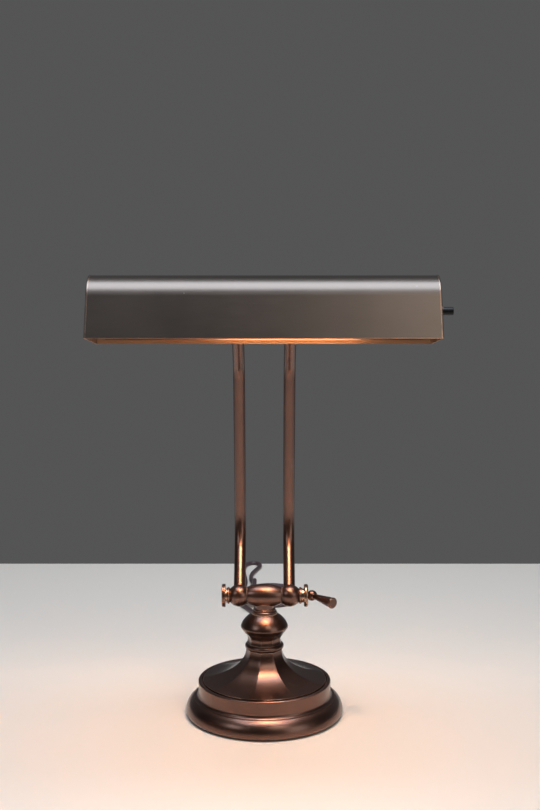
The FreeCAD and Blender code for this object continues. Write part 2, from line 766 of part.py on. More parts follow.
def rivet(x, up):
    """A rivet through the wall and the plate, with a low dome each side."""
    shank = rod(rivet_radius, wall_point(x, up, -shade_wall), wall_point(x, up, bracket_thickness))
    dome = turned(outline((0, 0), (rivet_head_radius, 0),
                          ((rivet_head_radius * 0.75, rivet_head_height * 0.7), (dome_flat, rivet_head_height)),
                          (0, rivet_head_height)))
    outer = dome.copy()
    outer.Placement = FreeCAD.Placement(wall_point(x, up, bracket_thickness), FreeCAD.Rotation(Z_AXIS, wall_out))
    inner = dome.copy()
    inner.Placement = FreeCAD.Placement(wall_point(x, up, -shade_wall), FreeCAD.Rotation(Z_AXIS, wall_out * -1))
    return shank.fuse(outer).fuse(inner)


save("bracket_rivets", in_shade(Part.makeCompound([rivet(x, up) for x, up in rivet_places])))

# Grommet for the leads, through the wall and the plate
grommet_body = rod(grommet_radius, wall_point(0, grommet_height, -shade_wall - grommet_lip),
                   wall_point(0, grommet_height, bracket_thickness + grommet_lip))
grommet_lips = rod(grommet_radius + 1.2, wall_point(0, grommet_height, -shade_wall - grommet_lip),
                   wall_point(0, grommet_height, -shade_wall))
grommet_lips = grommet_lips.fuse(rod(grommet_radius + 1.2, wall_point(0, grommet_height, bracket_thickness),
                                     wall_point(0, grommet_height, bracket_thickness + grommet_lip)))
grommet_way = rod(grommet_bore, wall_point(0, grommet_height, -6), wall_point(0, grommet_height, 8))
save("lead_grommet", in_shade(grommet_body.fuse(grommet_lips).cut(grommet_way)))

# Push switch: body inside the cap, threaded bushing, washer, nut and button
cap_inner_x = shell_half
strap_inner_x = cap_inner_x - strap_thickness
switch_back_x = strap_inner_x - switch_body_length
nut_start_x = shade_length / 2 + switch_washer_thickness
nut_end_x = nut_start_x + switch_nut_thickness


def on_switch_axis(x):
    return switch_line + V(x, 0, 0)


button_back_x = strap_inner_x - button_inside
button_way = rod(button_radius + running_gap, on_switch_axis(button_back_x - button_travel - 0.6),
                 on_switch_axis(nut_end_x + 1))
save("switch_body", in_shade(rod(switch_body_radius, on_switch_axis(switch_back_x),
                                 on_switch_axis(strap_inner_x)).cut(button_way)))
save("switch_bushing", in_shade(rod(bushing_radius, on_switch_axis(strap_inner_x),
                                    on_switch_axis(nut_end_x + 0.3)).cut(button_way)))
bushing_hole = rod(bushing_radius + seat_gap, on_switch_axis(0), on_switch_axis(shade_length))
save("switch_washer", in_shade(rod(switch_washer_radius, on_switch_axis(shade_length / 2),
                                   on_switch_axis(nut_start_x)).cut(bushing_hole)))
save("switch_nut", in_shade(hexagon(switch_nut_flats, on_switch_axis(nut_start_x),
                                    on_switch_axis(nut_end_x)).cut(bushing_hole)))
button_end_x = nut_end_x + button_reach
button = turned(outline(
    (button_back_x, 0),
    (button_back_x, button_radius),
    (button_end_x - 0.5, button_radius),
    ((button_end_x - 0.15, button_radius - 0.15), (button_end_x, button_radius - 0.6)),
    (button_end_x, 0),
), X_AXIS)
save("switch_button", in_shade(moved(button, switch_line)))

# Strap from the right cap to the lampholder
strap_far_x = switch_back_x - strap_clearance
strap_top_z = switch_axis_height + switch_body_radius + strap_clearance
strap_low_z = switch_axis_height - bushing_radius - 5.0


def strap_slab(x0, x1, z0, z1):
    return Part.makeBox(x1 - x0, strap_width, z1 - z0, V(x0, -strap_width / 2, z0))


strap = strap_slab(strap_inner_x, cap_inner_x, strap_low_z, strap_top_z + strap_thickness)
strap = strap.fuse(strap_slab(strap_far_x, cap_inner_x, strap_top_z, strap_top_z + strap_thickness))
strap = strap.fuse(strap_slab(strap_far_x, strap_far_x + strap_thickness, strap_low_z,
                              strap_top_z + strap_thickness))
save("socket_strap", in_shade(strap.cut(switch_hole).removeSplitter()))

# Lampholder: open cup with its screw shell and spring contact
holder_open_x = strap_far_x - holder_length
holder_floor_x = strap_far_x - holder_back
holder = moved(turned(outline(
    (strap_far_x, 0),
    (strap_far_x, holder_radius - 1.5),
    (strap_far_x - 1.5, holder_radius),
    (holder_open_x + 3.0, holder_radius),
    (holder_open_x + 3.0, holder_radius + 0.9),
    (holder_open_x, holder_radius + 0.9),
    (holder_open_x, holder_radius - holder_wall),
    (holder_floor_x, holder_radius - holder_wall),
    (holder_floor_x, 0),
), X_AXIS), switch_line)
save("lampholder", in_shade(holder))

shell_start_x = holder_floor_x - 0.5
shell_end_x = holder_open_x + 3.0
thread_depth = 0.5
thread_count = 6
thread_pitch = (shell_start_x - shell_end_x) / thread_count


def threaded_cup(outer, wall, start_x, depth, closed):
    """A thin cup with rounded thread ridges, open towards -X, its floor at start_x when it is closed."""
    outside = [(start_x, outer)]
    inside = [(start_x, outer - wall)]
    for k in range(thread_count):
        x = start_x - thread_pitch * (k + 1)
        middle = x + thread_pitch / 2
        outside.append(((middle, outer - depth), (x, outer)))
        inside.append(((middle, outer - wall - depth), (x, outer - wall)))
    edges = []
    for run in (outside, inside):
        here = V(run[0][0], 0, run[0][1])
        for middle, end in run[1:]:
            end = V(end[0], 0, end[1])
            edges.append(Part.Arc(here, V(middle[0], 0, middle[1]), end).toShape())
            here = end
    far_x = start_x - thread_pitch * thread_count
    edges.append(Part.makeLine(V(far_x, 0, outer), V(far_x, 0, outer - wall)))
    edges.append(Part.makeLine(V(start_x, 0, outer), V(start_x, 0, outer - wall)))
    cup = turned(Part.Wire(Part.sortEdges(edges)[0]), X_AXIS)
    if closed:
        cup = cup.fuse(rod(outer, V(start_x, 0, 0), V(start_x + wall, 0, 0)))
    return moved(cup, switch_line)


save("screw_shell", in_shade(threaded_cup(screw_shell_radius, screw_shell_wall, shell_start_x, thread_depth, True)))
contact_start_x = shell_start_x - 0.2
bulb_tip_x = contact_start_x - 2.4
contact = rod(2.6, on_switch_axis(bulb_tip_x), on_switch_axis(contact_start_x))
save("centre_contact", in_shade(contact))

# Bulb: screw cap with its tip, and a long round glass
cap_fit = screw_shell_radius - screw_shell_wall - thread_depth - 0.3
cap_radius = min(bulb_cap_radius, cap_fit)
cap_start_x = bulb_tip_x - 2.0
cap_end_x = cap_start_x - bulb_cap_length
bulb_cap = turned(outline(
    (bulb_tip_x, 0),
    (bulb_tip_x, 3.4),
    (bulb_tip_x - 1.0, 4.4),
    (cap_start_x, cap_radius - 2.2),
    (cap_start_x - 1.6, cap_radius),
    (cap_end_x, cap_radius),
    (cap_end_x, 0),
), X_AXIS)
save("bulb_cap", in_shade(moved(bulb_cap, switch_line)))

glass_shoulder_x = cap_end_x - bulb_neck_length
glass_end_x = cap_end_x - bulb_glass_length


def bulb_form(inset, start_x):
    """The bulb's glass, a given distance inside its outer face."""
    radius = bulb_glass_radius - inset
    neck = cap_radius - 0.6 - inset
    dome_x = glass_end_x + bulb_glass_radius
    diagonal = radius * math.sqrt(0.5)
    return moved(turned(outline(
        (start_x, 0),
        (start_x, neck),
        (glass_shoulder_x, radius),
        (dome_x, radius),
        ((dome_x - diagonal, diagonal), (dome_x - radius, 0)),
    ), X_AXIS), switch_line)


glass = bulb_form(0, cap_end_x).cut(bulb_form(bulb_glass_wall, cap_end_x + 1.0))
save("bulb_glass", in_shade(glass))

# Cord relief moulded on the cord, held in the cover's back wall
relief_tip_y = relief_y + relief_flange_length + relief_length
relief_inner_y = foot_radius - cover_wall - relief_core_inside
relief = turned(outline(
    (relief_inner_y, 0),
    (relief_inner_y, relief_core_radius),
    (relief_y, relief_core_radius),
    (relief_y, relief_flange_radius),
    (relief_y + relief_flange_length, relief_flange_radius),
    (relief_y + relief_flange_length + 1.0, relief_flange_radius - 1.0),
    (relief_tip_y, relief_tip_radius),
    (relief_tip_y, 0),
), X_AXIS)
relief.rotate(ORIGIN, Z_AXIS, 90)
save("cord_relief", moved(relief, V(0, 0, cord_exit_height)))

# Wiring inside the base: the cord's jacket, then its leads up the threaded tube
jacket_end_y = nut_pocket_radius + 3
jacket = rod(cord_diameter / 2, V(0, jacket_end_y, cord_exit_height), V(0, relief_inner_y, cord_exit_height))
lead_top = rod_top - 1.5
leads = swept(rounded_path([V(0, jacket_end_y + 1, cord_exit_height), V(0, 0, cord_exit_height), V(0, 0, lead_top)],
                           [lead_bend]), lead_radius)
save("base_wiring", jacket.fuse(leads))


def cord_radii(points):
    """Each arc is as large as its two runs allow."""
    radii = []
    for k in range(1, len(points) - 1):
        before = points[k] - points[k - 1]
        after = points[k + 1] - points[k]
        half_turn = before.getAngle(after) / 2
        radii.append(0.45 * min(before.Length, after.Length) / math.tan(half_turn))
    return radii


def cord_tube(name, points):
    """A free stretch of cord, with its radii and volume printed for a check."""
    radii = cord_radii(points)
    path = rounded_path(points, radii)
    body = swept(path, cord_diameter / 2)
    save(name, body)
    expected = path.Length * math.pi * cord_diameter ** 2 / 4
    print(name, "length %.1f, volume ratio %.4f, radii" % (path.Length, abs(body.Volume) / expected),
          " ".join("%.0f" % r for r in radii))
    return path.Length


# Coil of the length that isn't laid out: half turns that spiral in, climb a layer and spiral out
lying = cord_diameter / 2
coil_step = coil_pitch / 2
coil_start_radius = coil_middle_radius + coil_step * coil_half_turns_in / 2
coil_centre = V(coil_centre_x, coil_centre_y, 0)


def quarter_arcs(start, end, way):
    """Two quarter turns from start, heading along way, to end, heading the other way: a biarc that may climb."""
    reach = (end - start).Length / 2
    joint = (start + end) * 0.5 + way * reach
    arcs = []
    for corner, near, far in ((start + way * reach, start, joint), (end + way * reach, joint, end)):
        chord = (near + far) * 0.5
        inward = chord - corner
        half = (near - far).Length / 2
        bend = half / inward.Length
        radius = reach * bend
        gap = inward.Length - (math.sqrt(radius ** 2 + reach ** 2) - radius)
        middle = chord - inward.normalize() * gap
        arcs.append(Part.Arc(near, middle, far).toShape())
    return arcs


def coil_edges():
    """The coil's middle line, with a straight end of one diameter at each end."""
    edges = []
    side = -1
    radius = coil_start_radius
    height = lying
    here = coil_centre + V(side * radius, 0, height)
    edges.append(Part.makeLine(here - V(0, cord_diameter, 0), here))
    total = coil_half_turns_in + 1 + coil_half_turns_out
    for k in range(total):
        way = Y_AXIS if k % 2 == 0 else Y_AXIS * -1
        if k <= coil_half_turns_in:
            radius -= coil_step
        elif k == coil_half_turns_in + 1:
            radius += 2 * coil_step
        else:
            radius += coil_step
        if k == coil_half_turns_in:
            height += coil_layer_rise
        side = -side
        there = coil_centre + V(side * radius, 0, height)
        if k == coil_half_turns_in:
            edges.extend(quarter_arcs(here, there, way))
        else:
            middle = (here + there) * 0.5
            top = middle + way * ((there - here).Length / 2)
            edges.append(Part.Arc(here, top, there).toShape())
        here = there
    edges.append(Part.makeLine(here, here + V(0, cord_diameter, 0)))
    return edges, here + V(0, cord_diameter, 0)


def least_self_gap(edges):
    """The smallest clear gap between turns of the coil, measured on points of its middle line."""
    points = []
    for edge in edges:
        count = max(2, int(edge.Length / 1.5))
        points.extend(edge.discretize(count)[:-1])
    least = total_height
    run = [0.0]
    for a, b in zip(points, points[1:]):
        run.append(run[-1] + (b - a).Length)
    for i in range(len(points)):
        for j in range(i + 1, len(points)):
            if run[j] - run[i] > 4 * cord_diameter:
                least = min(least, (points[j] - points[i]).Length)
    return least - cord_diameter


coil_line, coil_exit = coil_edges()
coil_path = Part.Wire(coil_line)
coil = swept(coil_path, cord_diameter / 2)
save("cord_coil", coil)
coil_section = math.pi * cord_diameter ** 2 / 4
print("coil length %.1f, volume ratio %.4f, least gap %.2f" % (
    coil_path.Length, abs(coil.Volume) / (coil_path.Length * coil_section), least_self_gap(coil_line)))

# Free stretch from the base to the coil, lying on the table behind the stem
coil_entry = coil_centre + V(-coil_start_radius, -cord_diameter, lying)
lead_points = [
    V(0, relief_tip_y, cord_exit_height),
    V(0, relief_tip_y + 16, cord_exit_height),
    V(1.5, relief_tip_y + 36, 3.0),
    V(5, 146, lying),
    V(6, 178, lying),
    V(0, 212, lying),
    V(-8, 244, lying),
    V(-13, 266, lying),
    V(-22, 286, lying),
    V(coil_entry.x, coil_entry.y - 14, lying),
    coil_entry,
]
lead_length = cord_tube("cord_lead", lead_points)

# Free stretch from the coil, with the narrow bight behind the lamp, back to the plug on top of the coil
plug_x = -12.0
plug_entry_y = 312.0
coil_top = lying + coil_layer_rise + cord_diameter / 2
plug_centre_z = coil_top + plug_gap + plug_thickness / 2
plug_entry = V(plug_x, plug_entry_y, plug_centre_z)
tail_points = [
    coil_exit,
    coil_exit + V(0, 10, 0),
    V(-27, 348, 4.6),
    V(-22.5, 368, lying),
    V(-22.8, 388, lying),
    V(-24.8, 410, lying),
    V(-26.0, 428, lying),
    V(-25.6, 442, lying),
    V(-24.2, 451.5, lying),
    V(-20.8, 458.6, lying),
    V(-15.0, 461.6, lying),
    V(-9.8, 459.2, lying),
    V(-7.0, 453.2, lying),
    V(-7.4, 444.4, lying),
    V(-11.0, 432, lying),
    V(-16.0, 415, lying),
    V(-17.2, 397, lying),
    V(-15.5, 381, 2.6),
    V(-13.4, 366, 5.6),
    V(-12.6, 355, 10.2),
    V(-12.2, 344, 14.4),
    V(-12.1, 334, plug_centre_z + 0.1),
    V(plug_x, 322, plug_centre_z),
    plug_entry,
]
tail_length = cord_tube("cord_tail", tail_points)
print("cord in all %.0f" % (lead_length + coil_path.Length + tail_length))

# Two-blade plug lying on the coil, its blades towards the lamp
plug_sections = []
for share, half_width, half_height in ((0.0, plug_neck_radius, plug_neck_radius),
                                       (0.35, plug_width * 0.36, plug_thickness * 0.42),
                                       (0.62, plug_width / 2, plug_thickness / 2),
                                       (1.0, plug_width / 2, plug_thickness / 2)):
    centre = plug_entry - V(0, plug_length * share, 0)
    curve = Part.Ellipse(centre, half_width, min(half_height, half_width - 0.001)).toShape()
    curve.rotate(centre, X_AXIS, 90)
    plug_sections.append(Part.Wire([curve]))
plug_body = Part.makeLoft(plug_sections, True, False)
blade_root = plug_entry - V(0, plug_length, 0)
blades = []
for side in (-1, 1):
    corner = blade_root + V(side * blade_spacing / 2 - blade_thickness / 2, -blade_length, -blade_width / 2)
    blades.append(Part.makeBox(blade_thickness, blade_length, blade_width, corner))
save("plug_body", plug_body)
save("plug_blades", Part.makeCompound(blades))

for name, shape in made.items():
    box = shape.BoundBox
    good = shape.isValid() and all(solid.Volume > 0 for solid in shape.Solids)
    print("%-18s %s solids %d  x %.1f %.1f  y %.1f %.1f  z %.1f %.1f  volume %.0f" % (
        name, "ok" if good else "BAD", len(shape.Solids), box.XMin, box.XMax, box.YMin, box.YMax,
        box.ZMin, box.ZMax, shape.Volume))
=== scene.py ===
"""Dresses a packed piano lamp: bronze finishes, faceted column, bent arms, shade, cord and studio."""

import json
import math

import bmesh
import bpy
from bpy.props import FloatProperty, FloatVectorProperty, IntProperty, PointerProperty
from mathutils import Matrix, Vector


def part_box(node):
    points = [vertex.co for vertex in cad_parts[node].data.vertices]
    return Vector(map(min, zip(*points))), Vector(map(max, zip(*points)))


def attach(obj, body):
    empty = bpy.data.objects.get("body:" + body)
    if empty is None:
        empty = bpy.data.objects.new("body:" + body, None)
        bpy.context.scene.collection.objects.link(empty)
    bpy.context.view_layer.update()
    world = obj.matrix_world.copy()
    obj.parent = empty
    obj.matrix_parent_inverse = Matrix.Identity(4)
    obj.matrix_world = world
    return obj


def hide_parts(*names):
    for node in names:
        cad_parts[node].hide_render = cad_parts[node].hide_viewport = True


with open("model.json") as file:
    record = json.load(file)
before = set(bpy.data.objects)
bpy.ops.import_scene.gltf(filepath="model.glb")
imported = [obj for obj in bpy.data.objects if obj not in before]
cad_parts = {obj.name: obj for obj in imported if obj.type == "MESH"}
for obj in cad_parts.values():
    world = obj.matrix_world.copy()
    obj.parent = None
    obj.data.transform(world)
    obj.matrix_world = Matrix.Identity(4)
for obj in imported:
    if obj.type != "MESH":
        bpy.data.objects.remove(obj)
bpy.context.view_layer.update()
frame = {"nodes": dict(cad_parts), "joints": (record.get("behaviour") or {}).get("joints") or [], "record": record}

bl_info = {
    "name": "Piano Lamp Dresser",
    "version": (1, 0, 0),
    "blender": (4, 5, 0),
    "location": "3D Viewport > Sidebar > Lamp",
    "description": "Finishes, cord and studio for a two-armed piano lamp",
    "category": "Object",
}

MM = 0.001
MIX_SHARE, MIX_FIRST, MIX_SECOND, MIX_RESULT = 0, 6, 7, 2
BUMP_DEPTH = 0.0002
MERGE_DISTANCE = 1e-6


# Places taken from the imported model

def joint_point(name):
    """A joint's place in the frame."""
    for joint in frame["joints"]:
        if joint["name"] == name:
            return Vector(joint["pos_m"])
    raise ValueError("no joint named " + name)


PIVOT = joint_point("arm_tilt")
SWIVEL = joint_point("shade_tilt")


# Small helpers for node trees and meshes

def wire(tree, value, socket):
    """Links a socket's value, or sets it when the value is plain."""
    if isinstance(value, bpy.types.NodeSocket):
        tree.links.new(value, socket)
    else:
        socket.default_value = value


def place(tree, kind, wires=None, **settings):
    """Adds a node, sets its properties, then links or sets the inputs named in wires."""
    node = tree.nodes.new(kind)
    for key, value in settings.items():
        setattr(node, key, value)
    for key, value in (wires or {}).items():
        wire(tree, value, node.inputs[key])
    return node


def math_node(tree, operation, first, second=0.0, clamp=False):
    """The result of one sum on two values or sockets."""
    node = place(tree, "ShaderNodeMath", {0: first, 1: second}, operation=operation, use_clamp=clamp)
    return node.outputs[0]


def mapped_range(tree, value, low, high, to_low=0.0, to_high=1.0):
    """A value taken smoothly from one range to another."""
    node = place(tree, "ShaderNodeMapRange", {"Value": value, "From Min": low, "From Max": high,
                                              "To Min": to_low, "To Max": to_high},
                 interpolation_type="SMOOTHSTEP")
    return node.outputs["Result"]


def blend_colours(tree, share, first, second):
    """A mix of two colours or sockets."""
    node = place(tree, "ShaderNodeMix", {MIX_SHARE: share}, data_type="RGBA")
    for index, colour in ((MIX_FIRST, first), (MIX_SECOND, second)):
        linked = isinstance(colour, bpy.types.NodeSocket)
        wire(tree, colour if linked else (*colour[:3], 1.0), node.inputs[index])
    return node.outputs[MIX_RESULT]


def new_group(name, inputs, outputs):
    """An empty shader group with named sockets, and its two end nodes."""
    group = bpy.data.node_groups.new(name, "ShaderNodeTree")
    for label, kind, value in inputs:
        socket = group.interface.new_socket(label, in_out="INPUT", socket_type=kind)
        socket.default_value = value
    for label, kind in outputs:
        group.interface.new_socket(label, in_out="OUTPUT", socket_type=kind)
    return group, group.nodes.new("NodeGroupInput"), group.nodes.new("NodeGroupOutput")


def grouped(tree, group_name, **values):
    """Places a shader group in a tree with its inputs set."""
    node = tree.nodes.new("ShaderNodeGroup")
    node.node_tree = bpy.data.node_groups[group_name]
    for label, value in values.items():
        wire(tree, value, node.inputs[label.replace("_", " ").title()])
    return node


def start_finish(name, **values):
    """A new material with its shader's plain sockets set."""
    material = bpy.data.materials.new(name)
    material.use_nodes = True
    tree = material.node_tree
    shader = tree.nodes["Principled BSDF"]
    for key, value in values.items():
        socket = shader.inputs[key.replace("_", " ")]
        socket.default_value = (*value, 1.0) if isinstance(value, tuple) and len(value) == 3 else value
    return material, tree, shader


def feed(tree, shader, **values):
    """Links sockets into a shader's named inputs."""
    for key, value in values.items():
        tree.links.new(value, shader.inputs[key.replace("_", " ")])


def add_bump(tree, shader, height, strength, depth=BUMP_DEPTH):
    """Turns a height into a shader's normal."""
    bump = place(tree, "ShaderNodeBump", {"Strength": strength, "Distance": depth, "Height": height})
    feed(tree, shader, Normal=bump.outputs[0])


def scaled(colour, share):
    """A colour made darker or lighter."""
    return [min(1.0, part * share) for part in colour]


def object_coordinates(tree):
    """A tree's Object coordinates."""
    return tree.nodes.new("ShaderNodeTexCoord").outputs["Object"]


# Shader groups shared by several finishes

def build_rub_group():
    """Copper on raised edges, partly rubbed-through wear and partly a painted edge highlight: where a rounded
    normal leaves the true one, broken up by noise.
    """
    group, entry, end = new_group("Edge Rub", [
        ("Width", "NodeSocketFloat", 0.0008), ("Amount", "NodeSocketFloat", 1.0),
        ("Breakup", "NodeSocketFloat", 300.0)], [("Mask", "NodeSocketFloat")])
    rounded = place(group, "ShaderNodeBevel", {"Radius": entry.outputs["Width"]}, samples=6)
    true_normal = group.nodes.new("ShaderNodeNewGeometry").outputs["Normal"]
    likeness = place(group, "ShaderNodeVectorMath", {0: rounded.outputs[0], 1: true_normal},
                     operation="DOT_PRODUCT").outputs["Value"]
    edge = mapped_range(group, likeness, low=0.995, high=0.90)
    noise = place(group, "ShaderNodeTexNoise", {"Vector": object_coordinates(group),
                                                "Scale": entry.outputs["Breakup"], "Detail": 3.0})
    broken = mapped_range(group, noise.outputs[0], low=0.30, high=0.60, to_low=0.35)
    wear_and_highlight = math_node(group, "MULTIPLY", edge, broken)
    mask = math_node(group, "MULTIPLY", wear_and_highlight, entry.outputs["Amount"], clamp=True)
    group.links.new(mask, end.inputs["Mask"])


def build_mottle_group():
    """Soft patches where a rubbed finish is thinner."""
    group, entry, end = new_group("Mottle", [
        ("Scale", "NodeSocketFloat", 60.0), ("Low", "NodeSocketFloat", 0.35),
        ("High", "NodeSocketFloat", 0.7)], [("Mask", "NodeSocketFloat")])
    noise = place(group, "ShaderNodeTexNoise", {"Vector": object_coordinates(group),
                                                "Scale": entry.outputs["Scale"], "Detail": 5.0,
                                                "Roughness": 0.6})
    mask = mapped_range(group, noise.outputs[0], entry.outputs["Low"], entry.outputs["High"])
    group.links.new(mask, end.inputs["Mask"])


def build_grain_group():
    """Fine lines of a brushed or turned surface, stretched along one axis."""
    group, entry, end = new_group("Grain", [
        ("Stretch", "NodeSocketVector", (1.0, 1.0, 1.0)), ("Scale", "NodeSocketFloat", 900.0)],
        [("Height", "NodeSocketFloat"), ("Streak", "NodeSocketFloat")])
    stretched = place(group, "ShaderNodeVectorMath",
                      {0: object_coordinates(group), 1: entry.outputs["Stretch"]}, operation="MULTIPLY")
    noise = place(group, "ShaderNodeTexNoise", {"Vector": stretched.outputs[0],
                                                "Scale": entry.outputs["Scale"], "Detail": 2.0})
    streak = mapped_range(group, noise.outputs[0], low=0.25, high=0.75)
    group.links.new(noise.outputs[0], end.inputs["Height"])
    group.links.new(streak, end.inputs["Streak"])


def build_speck_group():
    """Scattered small specks, as of dust or pits."""
    group, entry, end = new_group("Specks", [
        ("Scale", "NodeSocketFloat", 500.0), ("Size", "NodeSocketFloat", 0.12),
        ("Rarity", "NodeSocketFloat", 0.82)], [("Mask", "NodeSocketFloat")])
    cells = place(group, "ShaderNodeTexVoronoi", {"Vector": object_coordinates(group),
                                                  "Scale": entry.outputs["Scale"], "Randomness": 1.0})
    near = math_node(group, "LESS_THAN", cells.outputs["Distance"], entry.outputs["Size"])
    chosen = place(group, "ShaderNodeSeparateColor", {0: cells.outputs["Color"]}).outputs[0]
    rare = math_node(group, "GREATER_THAN", chosen, entry.outputs["Rarity"])
    group.links.new(math_node(group, "MULTIPLY", near, rare), end.inputs["Mask"])


def build_inside_group():
    """The inner side of a trough: faces that look down in the object's own frame."""
    group, entry, end = new_group("Facing Down", [
        ("Limit", "NodeSocketFloat", -0.04)], [("Mask", "NodeSocketFloat")])
    normal = group.nodes.new("ShaderNodeTexCoord").outputs["Normal"]
    upward = place(group, "ShaderNodeSeparateXYZ", {0: normal}).outputs["Z"]
    group.links.new(math_node(group, "LESS_THAN", upward, entry.outputs["Limit"]), end.inputs["Mask"])


# Finishes

def rubbed_metal(name, dark, edge_width, patch_low, patch_high, roughness):
    """Dark rubbed bronze: copper shows on edges, partly as wear and partly as a painted edge highlight, and in
    soft worn patches, over a faint grain.
    """
    look = bpy.context.scene.lamp_finish
    material, tree, shader = start_finish(name, Metallic=1.0, Coat_Weight=0.5, Coat_Roughness=0.22)
    # Copper on the edges is partly rubbed-through wear and partly a painted edge highlight.
    rub_and_highlight = grouped(tree, "Edge Rub", width=edge_width, amount=look.edge_wear_and_highlight).outputs["Mask"]
    patch = grouped(tree, "Mottle", scale=70.0, low=patch_low, high=patch_high).outputs["Mask"]
    soft = grouped(tree, "Mottle", scale=22.0, low=0.35, high=0.65).outputs["Mask"]
    lines = grouped(tree, "Grain", scale=700.0)
    specks = grouped(tree, "Specks", scale=420.0, size=0.10).outputs["Mask"]
    # The edge part of this mask carries painted highlight as well as wear; the soft patches are wear.
    wear_and_highlight = math_node(tree, "MAXIMUM", rub_and_highlight, math_node(tree, "MULTIPLY", patch, 0.15))
    colour = blend_colours(tree, soft, scaled(dark, 0.92), scaled(dark, 1.08))
    colour = blend_colours(tree, wear_and_highlight, colour, look.copper)
    colour = blend_colours(tree, math_node(tree, "MULTIPLY", specks, 0.35), colour, scaled(dark, 0.3))
    streaks = mapped_range(tree, lines.outputs["Streak"], 0.0, 1.0, roughness - 0.01, roughness + 0.015)
    rough = math_node(tree, "ADD", streaks, math_node(tree, "MULTIPLY", soft, 0.04))
    feed(tree, shader, Base_Color=colour, Roughness=rough)
    add_bump(tree, shader, lines.outputs["Height"], strength=0.015)
    return material


def dark_bronze_finish():
    """The bronze of base, stem, pivot bar and arms."""
    look = bpy.context.scene.lamp_finish
    return rubbed_metal("dark_bronze_rubbed", look.bronze, edge_width=0.0009, patch_low=0.58,
                        patch_high=0.85, roughness=0.31)


def copper_edge_finish():
    """The brighter copper of collars, nuts and lever hub."""
    look = bpy.context.scene.lamp_finish
    return rubbed_metal("copper_edge_rubbed", scaled(look.copper, 0.40), edge_width=0.0008, patch_low=0.40,
                        patch_high=0.66, roughness=0.25)


def shade_finish():
    """Satin bronze over brushed sheet, with light copper along its hems and edges, partly a painted highlight and
    partly wear, and a warmer inner side.
    """
    look = bpy.context.scene.lamp_finish
    material, tree, shader = start_finish("shade_bronze_satin", Metallic=1.0, Coat_Weight=0.4,
                                          Coat_Roughness=0.24)
    lines = grouped(tree, "Grain", stretch=(0.05, 1.0, 1.0), scale=1400.0)
    soft = grouped(tree, "Mottle", scale=9.0, low=0.35, high=0.65).outputs["Mask"]
    # Copper along the hems and cap edges: partly a painted highlight where the edges catch light, and partly edge
    # wear.
    rub_and_highlight = grouped(tree, "Edge Rub", width=0.0006, amount=0.9, breakup=150.0).outputs["Mask"]
    specks = grouped(tree, "Specks", scale=90.0, size=0.035).outputs["Mask"]
    inside = grouped(tree, "Facing Down").outputs["Mask"]
    streaks = math_node(tree, "MULTIPLY", lines.outputs["Streak"], 0.10)
    colour = blend_colours(tree, soft, scaled(look.shade, 0.94), scaled(look.shade, 1.06))
    colour = blend_colours(tree, streaks, colour, scaled(look.shade, 1.4))
    colour = blend_colours(tree, math_node(tree, "MULTIPLY", rub_and_highlight, 0.8), colour, look.copper)
    colour = blend_colours(tree, math_node(tree, "MULTIPLY", specks, 0.5), colour, (0.55, 0.52, 0.50))
    colour = blend_colours(tree, inside, colour, look.shade_inside)
    brushed = mapped_range(tree, lines.outputs["Streak"], 0.0, 1.0, 0.32, 0.34)
    rough = math_node(tree, "ADD", brushed, math_node(tree, "MULTIPLY", soft, 0.03))
    feed(tree, shader, Base_Color=colour, Roughness=rough)
    add_bump(tree, shader, lines.outputs["Height"], strength=0.02)
    return material


def moulded_finish(name, colour, roughness, bump, scale=1800.0, specular=0.5):
    """Moulded plastic, rubber or fibre: fine texture, faint colour change and uneven gloss."""
    material, tree, shader = start_finish(name, Specular_IOR_Level=specular)
    fine = grouped(tree, "Grain", scale=scale)
    soft = grouped(tree, "Mottle", scale=45.0, low=0.3, high=0.7).outputs["Mask"]
    tone = blend_colours(tree, soft, scaled(colour, 0.85), scaled(colour, 1.2))
    rough = mapped_range(tree, soft, 0.0, 1.0, roughness - 0.04, roughness + 0.06)
    feed(tree, shader, Base_Color=tone, Roughness=rough)
    add_bump(tree, shader, fine.outputs["Height"], strength=bump)
    return material


def plain_metal_finish(name, colour, roughness, stretch, tarnish=0.25):
    """Plated or turned metal with machining lines and a little tarnish."""
    material, tree, shader = start_finish(name, Metallic=1.0)
    lines = grouped(tree, "Grain", stretch=stretch, scale=1200.0)
    dull = grouped(tree, "Mottle", scale=90.0, low=0.45, high=0.75).outputs["Mask"]
    tone = blend_colours(tree, math_node(tree, "MULTIPLY", dull, tarnish), colour, scaled(colour, 0.4))
    streaks = mapped_range(tree, lines.outputs["Streak"], 0.0, 1.0, roughness - 0.05, roughness + 0.07)
    rough = math_node(tree, "ADD", streaks, math_node(tree, "MULTIPLY", dull, 0.1))
    feed(tree, shader, Base_Color=tone, Roughness=rough)
    add_bump(tree, shader, lines.outputs["Height"], strength=0.1)
    return material


def felt_finish():
    """Green baize: short matted fibres."""
    material, tree, shader = start_finish("green_felt", Roughness=0.95, Sheen_Weight=0.4)
    fibres = grouped(tree, "Grain", stretch=(1.0, 0.35, 1.0), scale=1500.0)
    patch = grouped(tree, "Mottle", scale=120.0, low=0.3, high=0.7).outputs["Mask"]
    tone = blend_colours(tree, fibres.outputs["Streak"], (0.012, 0.045, 0.022), (0.04, 0.12, 0.06))
    tone = blend_colours(tree, math_node(tree, "MULTIPLY", patch, 0.4), tone, (0.02, 0.06, 0.035))
    feed(tree, shader, Base_Color=tone)
    add_bump(tree, shader, fibres.outputs["Height"], strength=0.6, depth=2 * BUMP_DEPTH)
    return material


